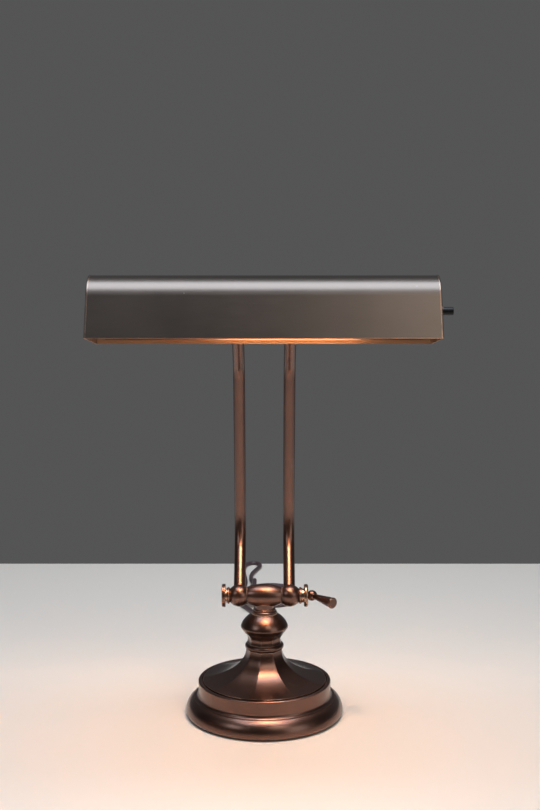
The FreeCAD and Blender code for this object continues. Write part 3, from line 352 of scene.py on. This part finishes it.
def bulb_glass_finish():
    """Frosted glass that glows warm and a little unevenly."""
    look = bpy.context.scene.lamp_finish
    material, tree, shader = start_finish("frosted_bulb", Base_Color=(0.95, 0.9, 0.8),
                                          Emission_Strength=look.glow_strength)
    soft = grouped(tree, "Mottle", scale=60.0, low=0.3, high=0.7).outputs["Mask"]
    feed(tree, shader, Roughness=mapped_range(tree, soft, 0.0, 1.0, 0.38, 0.5),
         Emission_Color=blend_colours(tree, soft, look.glow, scaled(look.glow, 0.9)))
    return material


FINISH_MAKERS = {
    "dark_bronze": dark_bronze_finish,
    "copper_edge": copper_edge_finish,
    "shade_bronze": shade_finish,
    "black_plastic": lambda: moulded_finish("black_button", (0.006, 0.006, 0.007), 0.38, 0.05, 1800.0, 0.25),
    "holder_black": lambda: moulded_finish("black_moulding", (0.02, 0.02, 0.02), 0.5, 0.15),
    "cast_iron": lambda: moulded_finish("raw_casting", (0.06, 0.058, 0.055), 0.7, 0.8, 500.0),
    "steel": lambda: plain_metal_finish("zinc_plate", (0.50, 0.50, 0.49), 0.30, (1, 1, 0.2)),
    "brass": lambda: plain_metal_finish("bright_brass", (0.70, 0.48, 0.20), 0.25, (0.3, 1, 1)),
    "bulb_metal": lambda: plain_metal_finish("bulb_cap_metal", (0.75, 0.74, 0.72), 0.28, (0.3, 1, 1), 0.15),
    "bulb_glass": bulb_glass_finish,
    "felt": felt_finish,
    "fibre": lambda: moulded_finish("fibre_washer", (0.08, 0.05, 0.04), 0.7, 0.4, 900.0),
    "grommet": lambda: moulded_finish("soft_rubber", (0.015, 0.015, 0.015), 0.6, 0.2),
    "cord_brown": lambda: moulded_finish("brown_vinyl", (0.075, 0.045, 0.05), 0.42, 0.12, 1400.0),
}


def finish_for(slot):
    """The material for one of the record's slots, made once."""
    key = "finish:" + slot
    stored = bpy.context.scene.get(key)
    if stored is None:
        stored = FINISH_MAKERS[slot]().name
        bpy.context.scene[key] = stored
    return bpy.data.materials[stored]


def dress_nodes(*names, finish=None):
    """Gives CAD nodes one finish, or that of their record slot."""
    slots = {row["node"]: row["material_slot"] for row in frame["record"]["subparts"]}
    for name in names:
        node = frame["nodes"][name]
        material = finish or finish_for(slots[name])
        for slot in node.material_slots:
            slot.material = material


def new_piece(name, mesh, body, slot, *stands_for):
    """A finished mesh as a piece that rides on a body and replaces CAD nodes."""
    piece = bpy.data.objects.new(name, mesh)
    bpy.context.scene.collection.objects.link(piece)
    piece.data.materials.clear()
    piece.data.materials.append(finish_for(slot))
    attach(piece, body)
    if stands_for:
        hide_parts(*stands_for)
    return piece


def new_shape_tree(name, inputs):
    """An empty geometry tree with named inputs, and its two end nodes."""
    tree = bpy.data.node_groups.new(name, "GeometryNodeTree")
    tree.interface.new_socket("Geometry", in_out="INPUT", socket_type="NodeSocketGeometry")
    tree.interface.new_socket("Geometry", in_out="OUTPUT", socket_type="NodeSocketGeometry")
    for label, kind in inputs:
        tree.interface.new_socket(label, in_out="INPUT", socket_type=kind)
    return tree, tree.nodes.new("NodeGroupInput"), tree.nodes.new("NodeGroupOutput")


def end_shape(tree, end, geometry, material):
    """Realizes a tree's instances and sets its material."""
    real = place(tree, "GeometryNodeRealizeInstances", {0: geometry}).outputs[0]
    dressed = place(tree, "GeometryNodeSetMaterial", {"Geometry": real, "Material": material}).outputs[0]
    tree.links.new(dressed, end.inputs[0])


def grown_mesh(name, data, tree, values):
    """The plain mesh that a geometry tree makes from some data and named values."""
    source = bpy.data.objects.new(name, data)
    bpy.context.scene.collection.objects.link(source)
    modifier = source.modifiers.new("Shape", "NODES")
    modifier.node_group = tree
    for item in tree.interface.items_tree:
        if item.in_out == "INPUT" and item.name in values:
            modifier[item.identifier] = values[item.name]
    graph = bpy.context.evaluated_depsgraph_get()
    mesh = bpy.data.meshes.new_from_object(source.evaluated_get(graph))
    source.modifiers.remove(modifier)
    bpy.data.objects.remove(source)
    return mesh


def smooth_shaded(mesh, crease):
    """Smooth shading that keeps edges sharper than the crease angle."""
    mesh.shade_smooth()
    mesh.set_sharp_from_angle(angle=math.radians(crease))
    return mesh


def facing_out(mesh):
    """Merges doubles and turns the faces outwards."""
    work = bmesh.new()
    work.from_mesh(mesh)
    bmesh.ops.remove_doubles(work, verts=work.verts, dist=MERGE_DISTANCE)
    bmesh.ops.recalc_face_normals(work, faces=work.faces)
    work.to_mesh(mesh)
    work.free()
    return mesh


# Settings

class LampFinishSettings(bpy.types.PropertyGroup):
    """Colours of the finishes."""
    bronze: FloatVectorProperty(
        name="Bronze", description="Colour of the dark rubbed bronze", subtype="COLOR",
        default=(0.150, 0.078, 0.058), min=0.0, max=1.0)
    copper: FloatVectorProperty(
        name="Copper", description="Colour that shows on rubbed edges", subtype="COLOR",
        default=(0.74, 0.45, 0.32), min=0.0, max=1.0)
    shade: FloatVectorProperty(
        name="Shade", description="Colour of the shade's satin lacquer", subtype="COLOR",
        default=(0.115, 0.093, 0.080), min=0.0, max=1.0)
    shade_inside: FloatVectorProperty(
        name="Shade Inside", description="Colour of the shade's inner side", subtype="COLOR",
        default=(0.48, 0.25, 0.13), min=0.0, max=1.0)
    # The copper on edges stands partly for wear and partly for a painted edge highlight.
    edge_wear_and_highlight: FloatProperty(
        name="Edge Rub", description="How much copper shows on edges", default=0.85, min=0.0, max=1.0,
        subtype="FACTOR")
    glow: FloatVectorProperty(
        name="Glow", description="Colour of the lit bulb", subtype="COLOR", default=(1.0, 0.64, 0.38),
        min=0.0, max=1.0)
    glow_strength: FloatProperty(
        name="Glow Strength", description="Strength of the lit bulb", default=55.0, min=0.0, max=200.0)


class LampStemSettings(bpy.types.PropertyGroup):
    """Shape of the faceted flare and neck."""
    facets: IntProperty(name="Facets", description="Sides of the column", default=9, min=5, max=16)
    turn: FloatProperty(
        name="Turn", description="Angle from the front to the first ridge", subtype="ANGLE",
        default=math.radians(-11.0))
    top_apothem: FloatProperty(
        name="Top Apothem", description="Middle of a side at the flare's top", default=0.014,
        unit="LENGTH", precision=4)
    reach: FloatProperty(
        name="Reach", description="Apothem at which the sweep would run level", default=0.056,
        unit="LENGTH", precision=4)
    edge: FloatProperty(
        name="Edge", description="Upright edge at the flare's foot", default=0.0014, unit="LENGTH",
        precision=4)
    ridge: FloatProperty(
        name="Ridge", description="How far a ridge is softened", default=0.00014, unit="LENGTH",
        precision=5)


class LampArmSettings(bpy.types.PropertyGroup):
    """Route and thickness of the arms, from the pivot axis."""
    elbow: FloatVectorProperty(
        name="Elbow", description="Corner of the elbow", subtype="TRANSLATION",
        default=(0.0, 0.0397, 0.0445))
    kink: FloatVectorProperty(
        name="Kink", description="Corner of the upper bend", subtype="TRANSLATION",
        default=(0.0, 0.008, 0.1817))
    elbow_radius: FloatProperty(
        name="Elbow Radius", description="Bend of the elbow", default=0.040, unit="LENGTH")
    kink_radius: FloatProperty(
        name="Kink Radius", description="Bend near the top", default=0.025, unit="LENGTH")
    foot_gap: FloatProperty(
        name="Foot Gap", description="From the pivot axis to the tube's end", default=0.0046,
        unit="LENGTH", precision=4)
    head_gap: FloatProperty(
        name="Head Gap", description="From the swivel axis to the tube's end", default=0.0037,
        unit="LENGTH", precision=4)


class LampCordSettings(bpy.types.PropertyGroup):
    """Size of the cord and its coil."""
    diameter: FloatProperty(
        name="Diameter", description="Thickness of the cord", default=0.0045, min=0.002, max=0.01,
        unit="LENGTH", precision=4)
    length: FloatProperty(
        name="Length", description="Length from the base to the plug", default=1.719, min=0.3, max=5.0,
        unit="LENGTH")
    turn_points: IntProperty(
        name="Points per Half Turn", description="Control points for each half turn of the coil",
        default=8, min=6, max=24)


class LampStudioSettings(bpy.types.PropertyGroup):
    """Camera, lights and floor."""
    lens: FloatProperty(
        name="Lens", description="Focal length on a 36 mm sensor", default=55.56, min=20.0, max=200.0)
    camera: FloatVectorProperty(
        name="Camera", description="Place of the camera", subtype="TRANSLATION",
        default=(0.0045, -0.976, 0.382))
    pitch: FloatProperty(
        name="Pitch", description="How far the camera looks down", subtype="ANGLE",
        default=math.radians(7.6))
    overhead: FloatProperty(
        name="Overhead", description="Power of the softbox above", default=22.5, min=0.0, max=200.0,
        unit="POWER")
    side: FloatProperty(
        name="Side", description="Power of the softbox at the right", default=7.0, min=0.0, max=200.0,
        unit="POWER")
    front: FloatProperty(
        name="Front", description="Power of the warm softbox above the front right", default=3.5,
        min=0.0, max=200.0, unit="POWER")
    left: FloatProperty(
        name="Left", description="Power of the small softbox at the left", default=3.0, min=0.0,
        max=200.0, unit="POWER")
    surround: FloatVectorProperty(
        name="Surround", description="Colour of the studio's walls", subtype="COLOR",
        default=(0.03, 0.031, 0.034), min=0.0, max=1.0)
    wall: FloatVectorProperty(
        name="Wall", description="Colour of the wall behind the table", subtype="COLOR",
        default=(0.090, 0.090, 0.092), min=0.0, max=1.0)
    floor: FloatVectorProperty(
        name="Floor", description="Colour of the table", subtype="COLOR", default=(0.86, 0.79, 0.71),
        min=0.0, max=1.0)


# Cord

LEAD_POINTS = (
    (0.0, 88.1, 7.0), (0.0, 104.1, 7.0), (1.5, 124.1, 3.0), (5.0, 146.0, 2.25), (6.0, 178.0, 2.25),
    (0.0, 212.0, 2.25), (-8.0, 244.0, 2.25), (-13.0, 266.0, 2.25), (-22.0, 286.0, 2.25),
    (-30.75, 301.5, 2.25), (-30.75, 315.5, 2.25),
)
TAIL_POINTS = (
    (-28.25, 324.5, 7.25), (-28.25, 334.5, 7.25), (-27.0, 348.0, 4.6), (-22.5, 368.0, 2.25),
    (-22.8, 388.0, 2.25), (-24.8, 410.0, 2.25), (-26.0, 428.0, 2.25), (-25.6, 442.0, 2.25),
    (-24.2, 451.5, 2.25), (-20.8, 458.6, 2.25), (-15.0, 461.6, 2.25), (-9.8, 459.2, 2.25),
    (-7.0, 453.2, 2.25), (-7.4, 444.4, 2.25), (-11.0, 432.0, 2.25), (-16.0, 415.0, 2.25),
    (-17.2, 397.0, 2.25), (-15.5, 381.0, 2.6), (-13.4, 366.0, 5.6), (-12.6, 355.0, 10.2),
    (-12.2, 344.0, 14.4), (-12.1, 334.0, 15.9), (-12.0, 322.0, 15.8), (-12.0, 312.0, 15.8),
)
COIL_CENTRE = (4.0, 320.0)
COIL_START_RADIUS = 34.75
COIL_STEP = 2.5
COIL_TURNS_IN = 9
COIL_TURNS_OUT = 7
COIL_LOW = 2.25
COIL_HIGH = 7.25


def coil_points(per_half_turn):
    """The coil's control points in millimetres: half turns that spiral in, climb a layer and spiral out."""
    radii = [COIL_START_RADIUS - COIL_STEP * k for k in range(COIL_TURNS_IN + 1)]
    radii += [radii[-1] + COIL_STEP * (k + 1) for k in range(1, COIL_TURNS_OUT + 1)]
    outward = 1 / math.cos(math.pi / (2 * per_half_turn))
    points = []
    for k in range(len(radii) - 1):
        for step in range(per_half_turn):
            share = step / per_half_turn
            ease = (1 - math.cos(math.pi * share)) / 2
            radius = (radii[k] + (radii[k + 1] - radii[k]) * ease) * outward
            angle = math.pi * (1 - k - share)
            climb = ease if k == COIL_TURNS_IN - 1 else float(k >= COIL_TURNS_IN)
            points.append((COIL_CENTRE[0] + radius * math.cos(angle),
                           COIL_CENTRE[1] + radius * math.sin(angle),
                           COIL_LOW + (COIL_HIGH - COIL_LOW) * climb))
    last = COIL_CENTRE[0] - radii[-1] * outward
    points.append((last, COIL_CENTRE[1], COIL_HIGH))
    return points


class LAMP_OT_cord(bpy.types.Operator):
    """Lays the cord from the base to its coil, round the bight and back to the plug."""
    bl_idname = "lamp.cord"
    bl_label = "Cord"

    def execute(self, context):
        size = context.scene.lamp_cord
        points = list(LEAD_POINTS) + coil_points(size.turn_points) + list(TAIL_POINTS)
        curve = bpy.data.curves.new("cord", "CURVE")
        curve.dimensions = "3D"
        spline = curve.splines.new("NURBS")
        spline.points.add(len(points) - 1)
        for control, point in zip(spline.points, points):
            control.co = (point[0] * MM, point[1] * MM, point[2] * MM, 1.0)
        spline.order_u = 3
        spline.use_endpoint_u = True
        curve.resolution_u = 6
        curve.bevel_depth = size.diameter / 2
        curve.bevel_resolution = 5
        curve.use_fill_caps = True
        cord = bpy.data.objects.new("cord", curve)
        context.scene.collection.objects.link(cord)
        curve.materials.append(finish_for("cord_brown"))
        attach(cord, "base")
        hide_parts("cord_lead", "cord_coil", "cord_tail")
        dress_nodes("cord_relief", "base_wiring", "plug_body", "plug_blades", "arm_lead")
        return {"FINISHED"}


# Pieces that keep their CAD shape

class LAMP_OT_base(bpy.types.Operator):
    """Finishes the base, its weight and felt, and what holds the stem."""
    bl_idname = "lamp.base"
    bl_label = "Base"

    def execute(self, context):
        dress_nodes("base_cover", "felt_pad", "base_weight", "stem_rod", "base_nut", "base_washer")
        return {"FINISHED"}


FLARE_ROWS = 20
FOOT_ROW = FLARE_ROWS + 1
BORE_BOTTOM_ROW = FLARE_ROWS + 2
BORE_TOP_ROW = FLARE_ROWS + 3
COLUMNS_PER_FACET = 12
RIDGE_POWER = 14.0
SEAM_NUDGE = 1e-5
BORE_GAP = 0.03
FLARE_CREASE = 8.0
NECK_CREASE = 28.0
NECK_ROWS = (
    # share of facets, apothem or radius, height above the ring, all lengths in millimetres
    (1.0, 13.5, 0.0), (1.0, 12.9, 1.4), (1.0, 12.55, 3.0), (1.0, 12.75, 4.8), (1.0, 13.5, 6.6),
    (1.0, 14.6, 8.2), (1.0, 15.3, 9.1), (0.0, 16.2, 9.2), (0.0, 17.5, 10.9), (0.0, 18.5, 12.4),
    (0.0, 18.95, 13.1), (0.0, 19.1, 13.7), (0.0, 18.95, 14.5), (0.0, 18.4, 15.9), (0.0, 17.3, 17.9),
    (0.0, 15.7, 19.9), (0.0, 13.8, 21.7), (0.0, 11.9, 23.2), (0.0, 10.4, 24.3), (0.0, 10.2, 24.4),
)


def flare_tree():
    """Geometry tree: a grid bent round the axis, its sides flat and its sweep a quarter ellipse.

    Row 0 is the bore's top; the sweep, the foot's lower edge, the bore's bottom and its top follow.
    """
    tree, entry, end = new_shape_tree("Faceted Flare", [
        ("Facets", "NodeSocketInt"), ("Turn", "NodeSocketFloat"), ("Top Apothem", "NodeSocketFloat"),
        ("Reach", "NodeSocketFloat"), ("Outer Radius", "NodeSocketFloat"), ("Bore", "NodeSocketFloat"),
        ("Top", "NodeSocketFloat"), ("Bottom", "NodeSocketFloat"), ("Edge", "NodeSocketFloat"),
        ("Ridge", "NodeSocketFloat")])
    value = entry.outputs

    def sum_of(operation, first, second=0.0):
        return math_node(tree, operation, first, second)

    def pick(test, when_false, when_true):
        return place(tree, "GeometryNodeSwitch", {"Switch": test, "False": when_false, "True": when_true},
                     input_type="FLOAT").outputs[0]

    columns = sum_of("ADD", sum_of("MULTIPLY", value["Facets"], COLUMNS_PER_FACET), 1.0)
    grid = place(tree, "GeometryNodeMeshGrid", {"Size X": 1.0, "Size Y": 1.0, "Vertices X": columns,
                                                "Vertices Y": BORE_TOP_ROW + 1})
    position = tree.nodes.new("GeometryNodeInputPosition").outputs[0]
    on_grid = place(tree, "ShaderNodeSeparateXYZ", {0: position}).outputs
    around = sum_of("ADD", on_grid["X"], 0.5)
    row = sum_of("MULTIPLY", sum_of("ADD", on_grid["Y"], 0.5), BORE_TOP_ROW)
    share = math_node(tree, "DIVIDE", sum_of("SUBTRACT", row, 1.0), FLARE_ROWS - 1, clamp=True)
    sweep = sum_of("MULTIPLY", share, math.pi / 2)

    inset = sum_of("SUBTRACT", value["Reach"], value["Top Apothem"])
    apothem = sum_of("SUBTRACT", value["Reach"], sum_of("MULTIPLY", inset, sum_of("COSINE", sweep)))
    facet_count = sum_of("MULTIPLY", around, value["Facets"])
    facet_place = sum_of("FRACT", sum_of("ADD", facet_count, SEAM_NUDGE))
    facet_turn = sum_of("MULTIPLY", sum_of("SUBTRACT", facet_place, 0.5),
                        sum_of("DIVIDE", 2 * math.pi, value["Facets"]))
    from_middle = sum_of("ABSOLUTE", sum_of("SUBTRACT", sum_of("MULTIPLY", facet_place, 2.0), 1.0))
    softened = sum_of("MULTIPLY", value["Ridge"], sum_of("POWER", from_middle, RIDGE_POWER))
    many_sided = sum_of("SUBTRACT", sum_of("DIVIDE", apothem, sum_of("COSINE", facet_turn)), softened)
    trimmed = sum_of("MINIMUM", many_sided, value["Outer Radius"])
    from_halfway = sum_of("ABSOLUTE", sum_of("SUBTRACT", row, BORE_BOTTOM_ROW / 2))
    radius = pick(sum_of("GREATER_THAN", from_halfway, FOOT_ROW / 2), trimmed, value["Bore"])

    foot = sum_of("ADD", value["Bottom"], value["Edge"])
    drop = sum_of("SUBTRACT", value["Top"], foot)
    height = sum_of("SUBTRACT", value["Top"], sum_of("MULTIPLY", drop, sum_of("SINE", sweep)))
    height = pick(sum_of("GREATER_THAN", row, FOOT_ROW - 0.5), height, value["Bottom"])
    height = pick(sum_of("GREATER_THAN", row, BORE_TOP_ROW - 0.5), height, value["Top"])
    angle = sum_of("ADD", value["Turn"], sum_of("MULTIPLY", around, 2 * math.pi))
    spot = place(tree, "ShaderNodeCombineXYZ", {
        "X": sum_of("MULTIPLY", radius, sum_of("SINE", angle)),
        "Y": sum_of("MULTIPLY", radius, sum_of("MULTIPLY", sum_of("COSINE", angle), -1.0)),
        "Z": height}).outputs[0]
    bent = place(tree, "GeometryNodeSetPosition", {"Geometry": grid.outputs["Mesh"], "Position": spot})
    closed = place(tree, "GeometryNodeMergeByDistance", {"Geometry": bent.outputs[0],
                                                         "Distance": MERGE_DISTANCE})
    end_shape(tree, end, closed.outputs[0], finish_for("dark_bronze"))
    return tree


def neck_mesh(stem, bottom, bore):
    """The neck's flat sides and the round bulb above them, turned about the axis."""
    count = stem.facets * COLUMNS_PER_FACET
    rings = [(0.0, bore, NECK_ROWS[0][2])] + list(NECK_ROWS) + [(0.0, bore, NECK_ROWS[-1][2])]
    points = []
    for flat_share, size, rise in rings:
        for column in range(count):
            angle = stem.turn + 2 * math.pi * column / count
            across = ((column / COLUMNS_PER_FACET) % 1.0 - 0.5) * 2 * math.pi / stem.facets
            radius = size * (1 + flat_share * (1 / math.cos(across) - 1)) * MM
            points.append((radius * math.sin(angle), -radius * math.cos(angle), bottom + rise * MM))
    faces = []
    for ring in range(len(rings)):
        above = (ring + 1) % len(rings)
        for column in range(count):
            beside = (column + 1) % count
            faces.append((ring * count + column, ring * count + beside, above * count + beside,
                          above * count + column))
    mesh = bpy.data.meshes.new("neck_bulb_form")
    mesh.from_pydata(points, [], faces)
    return facing_out(mesh)


class LAMP_OT_stem(bpy.types.Operator):
    """Grows the faceted flare and the neck, and finishes the ring and the collar."""
    bl_idname = "lamp.stem"
    bl_label = "Stem"

    def execute(self, context):
        stem = context.scene.lamp_stem
        low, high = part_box("flare_column")
        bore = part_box("stem_rod")[1].x + BORE_GAP * MM
        mesh = grown_mesh("flare", bpy.data.meshes.new("flare_seed"), flare_tree(), {
            "Facets": stem.facets, "Turn": stem.turn, "Top Apothem": stem.top_apothem, "Reach": stem.reach,
            "Outer Radius": high.x, "Bore": bore, "Top": high.z, "Bottom": low.z, "Edge": stem.edge,
            "Ridge": stem.ridge})
        flare = smooth_shaded(facing_out(mesh), FLARE_CREASE)
        new_piece("flare", flare, "base", "dark_bronze", "flare_column")
        neck = neck_mesh(stem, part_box("neck_bulb")[0].z, bore)
        neck = smooth_shaded(neck, NECK_CREASE)
        new_piece("neck_and_bulb", neck, "base", "dark_bronze", "neck_bulb")
        dress_nodes("column_ring")
        dress_nodes("stem_collar", finish=finish_for("dark_bronze"))
        return {"FINISHED"}


class LAMP_OT_pivot(bpy.types.Operator):
    """Finishes the pivot bar and its clamp lever."""
    bl_idname = "lamp.pivot"
    bl_label = "Pivot"

    def execute(self, context):
        dress_nodes("pivot_barrel", "pivot_washers", "right_knuckle", "left_knuckle", "right_collar",
                    "left_collar", "clamp_bolt", "lever_hub", "lever_handle")
        return {"FINISHED"}


BEND_STEPS = 24
TUBE_SIDES = 40
ARM_CREASE = 35.0


def arm_tree():
    """Geometry tree: a straight-sided route with rounded corners, swept by a circle."""
    tree, entry, end = new_shape_tree("Bent Tube", [
        ("Thickness", "NodeSocketFloat"), ("First Bend", "NodeSocketFloat"),
        ("Second Bend", "NodeSocketFloat")])
    value = entry.outputs
    index = tree.nodes.new("GeometryNodeInputIndex").outputs[0]
    at_second = math_node(tree, "GREATER_THAN", index, 1.5)
    bend = place(tree, "GeometryNodeSwitch", {"Switch": at_second, "False": value["First Bend"],
                                              "True": value["Second Bend"]}, input_type="FLOAT").outputs[0]
    route = place(tree, "GeometryNodeFilletCurve", {"Curve": value["Geometry"], "Count": BEND_STEPS,
                                                    "Radius": bend}, mode="POLY").outputs[0]
    radius = math_node(tree, "MULTIPLY", value["Thickness"], 0.5)
    circle = place(tree, "GeometryNodeCurvePrimitiveCircle", {"Resolution": TUBE_SIDES, "Radius": radius})
    tube = place(tree, "GeometryNodeCurveToMesh", {"Curve": route, "Profile Curve": circle.outputs[0],
                                                   "Fill Caps": True}).outputs[0]
    end_shape(tree, end, tube, finish_for("dark_bronze"))
    return tree


class LAMP_OT_arms(bpy.types.Operator):
    """Bends the two arms and finishes the swivel at their heads."""
    bl_idname = "lamp.arms"
    bl_label = "Arms"

    def execute(self, context):
        arms = context.scene.lamp_arms
        elbow = PIVOT + Vector(arms.elbow)
        kink = PIVOT + Vector(arms.kink)
        foot = PIVOT + (elbow - PIVOT).normalized() * arms.foot_gap
        head = SWIVEL + (kink - SWIVEL).normalized() * arms.head_gap
        tree = arm_tree()
        for node in ("right_arm_tube", "left_arm_tube"):
            low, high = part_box(node)
            across = (low.x + high.x) / 2
            route = bpy.data.curves.new(node + "_route", "CURVE")
            route.dimensions = "3D"
            spline = route.splines.new("POLY")
            spline.points.add(3)
            for control, point in zip(spline.points, (foot, elbow, kink, head)):
                control.co = (across, point.y, point.z, 1.0)
            mesh = grown_mesh(node + "_sweep", route, tree, {
                "Thickness": high.x - low.x, "First Bend": arms.elbow_radius,
                "Second Bend": arms.kink_radius})
            arm = smooth_shaded(facing_out(mesh), ARM_CREASE)
            new_piece(node.replace("_tube", ""), arm, "arms", "dark_bronze", node)
        dress_nodes("right_swivel_eye", "left_swivel_eye", "swivel_washers", "swivel_pin",
                    "swivel_cap_nuts")
        return {"FINISHED"}


class LAMP_OT_shade(bpy.types.Operator):
    """Finishes the shade, its caps and its hinge bracket."""
    bl_idname = "lamp.shade"
    bl_label = "Shade"

    def execute(self, context):
        dress_nodes("shade_shell", "left_end_cap", "right_end_cap", "shade_bracket", "swivel_spacer",
                    "bracket_rivets", "lead_grommet")
        return {"FINISHED"}


class LAMP_OT_switch(bpy.types.Operator):
    """Finishes the push switch."""
    bl_idname = "lamp.switch"
    bl_label = "Switch"

    def execute(self, context):
        dress_nodes("switch_body", "switch_bushing", "switch_washer", "switch_nut", "switch_button")
        return {"FINISHED"}


class LAMP_OT_bulb(bpy.types.Operator):
    """Finishes the lampholder and the lit bulb."""
    bl_idname = "lamp.bulb"
    bl_label = "Bulb"

    def execute(self, context):
        dress_nodes("socket_strap", "lampholder", "screw_shell", "centre_contact", "bulb_cap", "bulb_glass")
        return {"FINISHED"}


# Studio

TABLE = [(-1.2, -0.6, 0.0), (1.2, -0.6, 0.0), (1.2, 0.466, 0.0), (-1.2, 0.466, 0.0)]
WALL = [(-4.5, 2.4, -2.4), (4.5, 2.4, -2.4), (4.5, 2.4, 4.8), (-4.5, 2.4, 4.8)]
SOFTBOXES = (
    # name, setting that holds its power, size, colour, place, aim
    ("overhead", "overhead", (1.3, 0.8), (0.78, 0.88, 1.0), (0.0, -0.12, 1.55), (0.0, 0.0, 0.2)),
    ("front_right", "front", (0.6, 0.6), (1.0, 0.86, 0.72), (0.56, -1.1, 1.46), (0.0, 0.0, 0.25)),
    ("left_side", "left", (0.6, 0.6), (0.95, 0.97, 1.0), (-1.2, -1.0, 1.2), (0.0, 0.0, 0.1)),
    ("right_side", "side", (1.2, 1.4), (1.0, 0.95, 0.9), (1.7, -1.5, 0.9), (0.0, 0.0, 0.25)),
)


def plain_plane(name, corners, colour, roughness):
    """A flat stage piece with a plain finish."""
    mesh = bpy.data.meshes.new(name)
    mesh.from_pydata(corners, [], [tuple(range(len(corners)))])
    plane = bpy.data.objects.new(name, mesh)
    bpy.context.scene.collection.objects.link(plane)
    mesh.materials.append(start_finish(name + "_finish", Base_Color=tuple(colour), Roughness=roughness)[0])
    return plane


def soft_lamp(name, size, power, colour, place_at, aim):
    """A rectangular softbox pointing at a place."""
    data = bpy.data.lights.new(name, "AREA")
    data.shape = "RECTANGLE"
    data.size, data.size_y = size
    data.energy = power
    data.color = colour
    lamp = bpy.data.objects.new(name, data)
    bpy.context.scene.collection.objects.link(lamp)
    lamp.location = place_at
    lamp.rotation_euler = (Vector(aim) - Vector(place_at)).to_track_quat("-Z", "Y").to_euler()


class LAMP_OT_stage(bpy.types.Operator):
    """Sets up the camera, the lights, the surround and the table."""
    bl_idname = "lamp.stage"
    bl_label = "Studio"

    def execute(self, context):
        studio = context.scene.lamp_studio
        data = bpy.data.cameras.new("camera")
        data.lens = studio.lens
        data.sensor_width = 36.0
        camera = bpy.data.objects.new("camera", data)
        context.scene.collection.objects.link(camera)
        camera.location = studio.camera
        camera.rotation_euler = (math.pi / 2 - studio.pitch, 0.0, 0.0)
        context.scene.camera = camera

        for name, setting, size, colour, spot, aim in SOFTBOXES:
            soft_lamp(name, size, getattr(studio, setting), colour, spot, aim)

        world = bpy.data.worlds.new("studio")
        context.scene.world = world
        world.use_nodes = True
        background = world.node_tree.nodes["Background"]
        background.inputs["Color"].default_value = (*studio.surround, 1.0)
        background.inputs["Strength"].default_value = 1.0

        plain_plane("table", TABLE, studio.floor, 0.45)
        wall = plain_plane("wall", WALL, (0.0, 0.0, 0.0), 1.0)
        glow = wall.data.materials[0].node_tree.nodes["Principled BSDF"]
        glow.inputs["Emission Color"].default_value = (*studio.wall, 1.0)
        glow.inputs["Emission Strength"].default_value = 1.0
        glow.inputs["Specular IOR Level"].default_value = 0.0
        context.scene.view_settings.view_transform = "Standard"
        return {"FINISHED"}


PIECE_OPERATORS = (LAMP_OT_stage, LAMP_OT_cord, LAMP_OT_base, LAMP_OT_stem, LAMP_OT_pivot, LAMP_OT_arms,
                   LAMP_OT_shade, LAMP_OT_switch, LAMP_OT_bulb)


class LAMP_PT_panel(bpy.types.Panel):
    """Lists the settings and the pieces in the sidebar."""
    bl_idname = "LAMP_PT_panel"
    bl_label = "Piano Lamp"
    bl_space_type = "VIEW_3D"
    bl_region_type = "UI"
    bl_category = "Lamp"

    def draw(self, context):
        scene = context.scene
        for settings in (scene.lamp_finish, scene.lamp_stem, scene.lamp_arms, scene.lamp_cord,
                         scene.lamp_studio):
            box = self.layout.box()
            for key in settings.__annotations__:
                box.prop(settings, key)
        for operator in PIECE_OPERATORS:
            self.layout.operator(operator.bl_idname)


SETTINGS = (LampFinishSettings, LampStemSettings, LampArmSettings, LampCordSettings, LampStudioSettings)
CLASSES = SETTINGS + PIECE_OPERATORS + (LAMP_PT_panel,)


def register():
    for kind in CLASSES:
        bpy.utils.register_class(kind)
    bpy.types.Scene.lamp_finish = PointerProperty(type=LampFinishSettings)
    bpy.types.Scene.lamp_stem = PointerProperty(type=LampStemSettings)
    bpy.types.Scene.lamp_arms = PointerProperty(type=LampArmSettings)
    bpy.types.Scene.lamp_cord = PointerProperty(type=LampCordSettings)
    bpy.types.Scene.lamp_studio = PointerProperty(type=LampStudioSettings)


def unregister():
    del bpy.types.Scene.lamp_studio
    del bpy.types.Scene.lamp_cord
    del bpy.types.Scene.lamp_arms
    del bpy.types.Scene.lamp_stem
    del bpy.types.Scene.lamp_finish
    for kind in reversed(CLASSES):
        bpy.utils.unregister_class(kind)


def main():
    """Registers the classes and makes every piece."""
    register()
    build_rub_group()
    build_mottle_group()
    build_grain_group()
    build_speck_group()
    build_inside_group()
    bpy.ops.lamp.stage()
    bpy.ops.lamp.cord()
    bpy.ops.lamp.base()
    bpy.ops.lamp.stem()
    bpy.ops.lamp.pivot()
    bpy.ops.lamp.arms()
    bpy.ops.lamp.shade()
    bpy.ops.lamp.switch()
    bpy.ops.lamp.bulb()


if __name__ == "__main__":
    main()
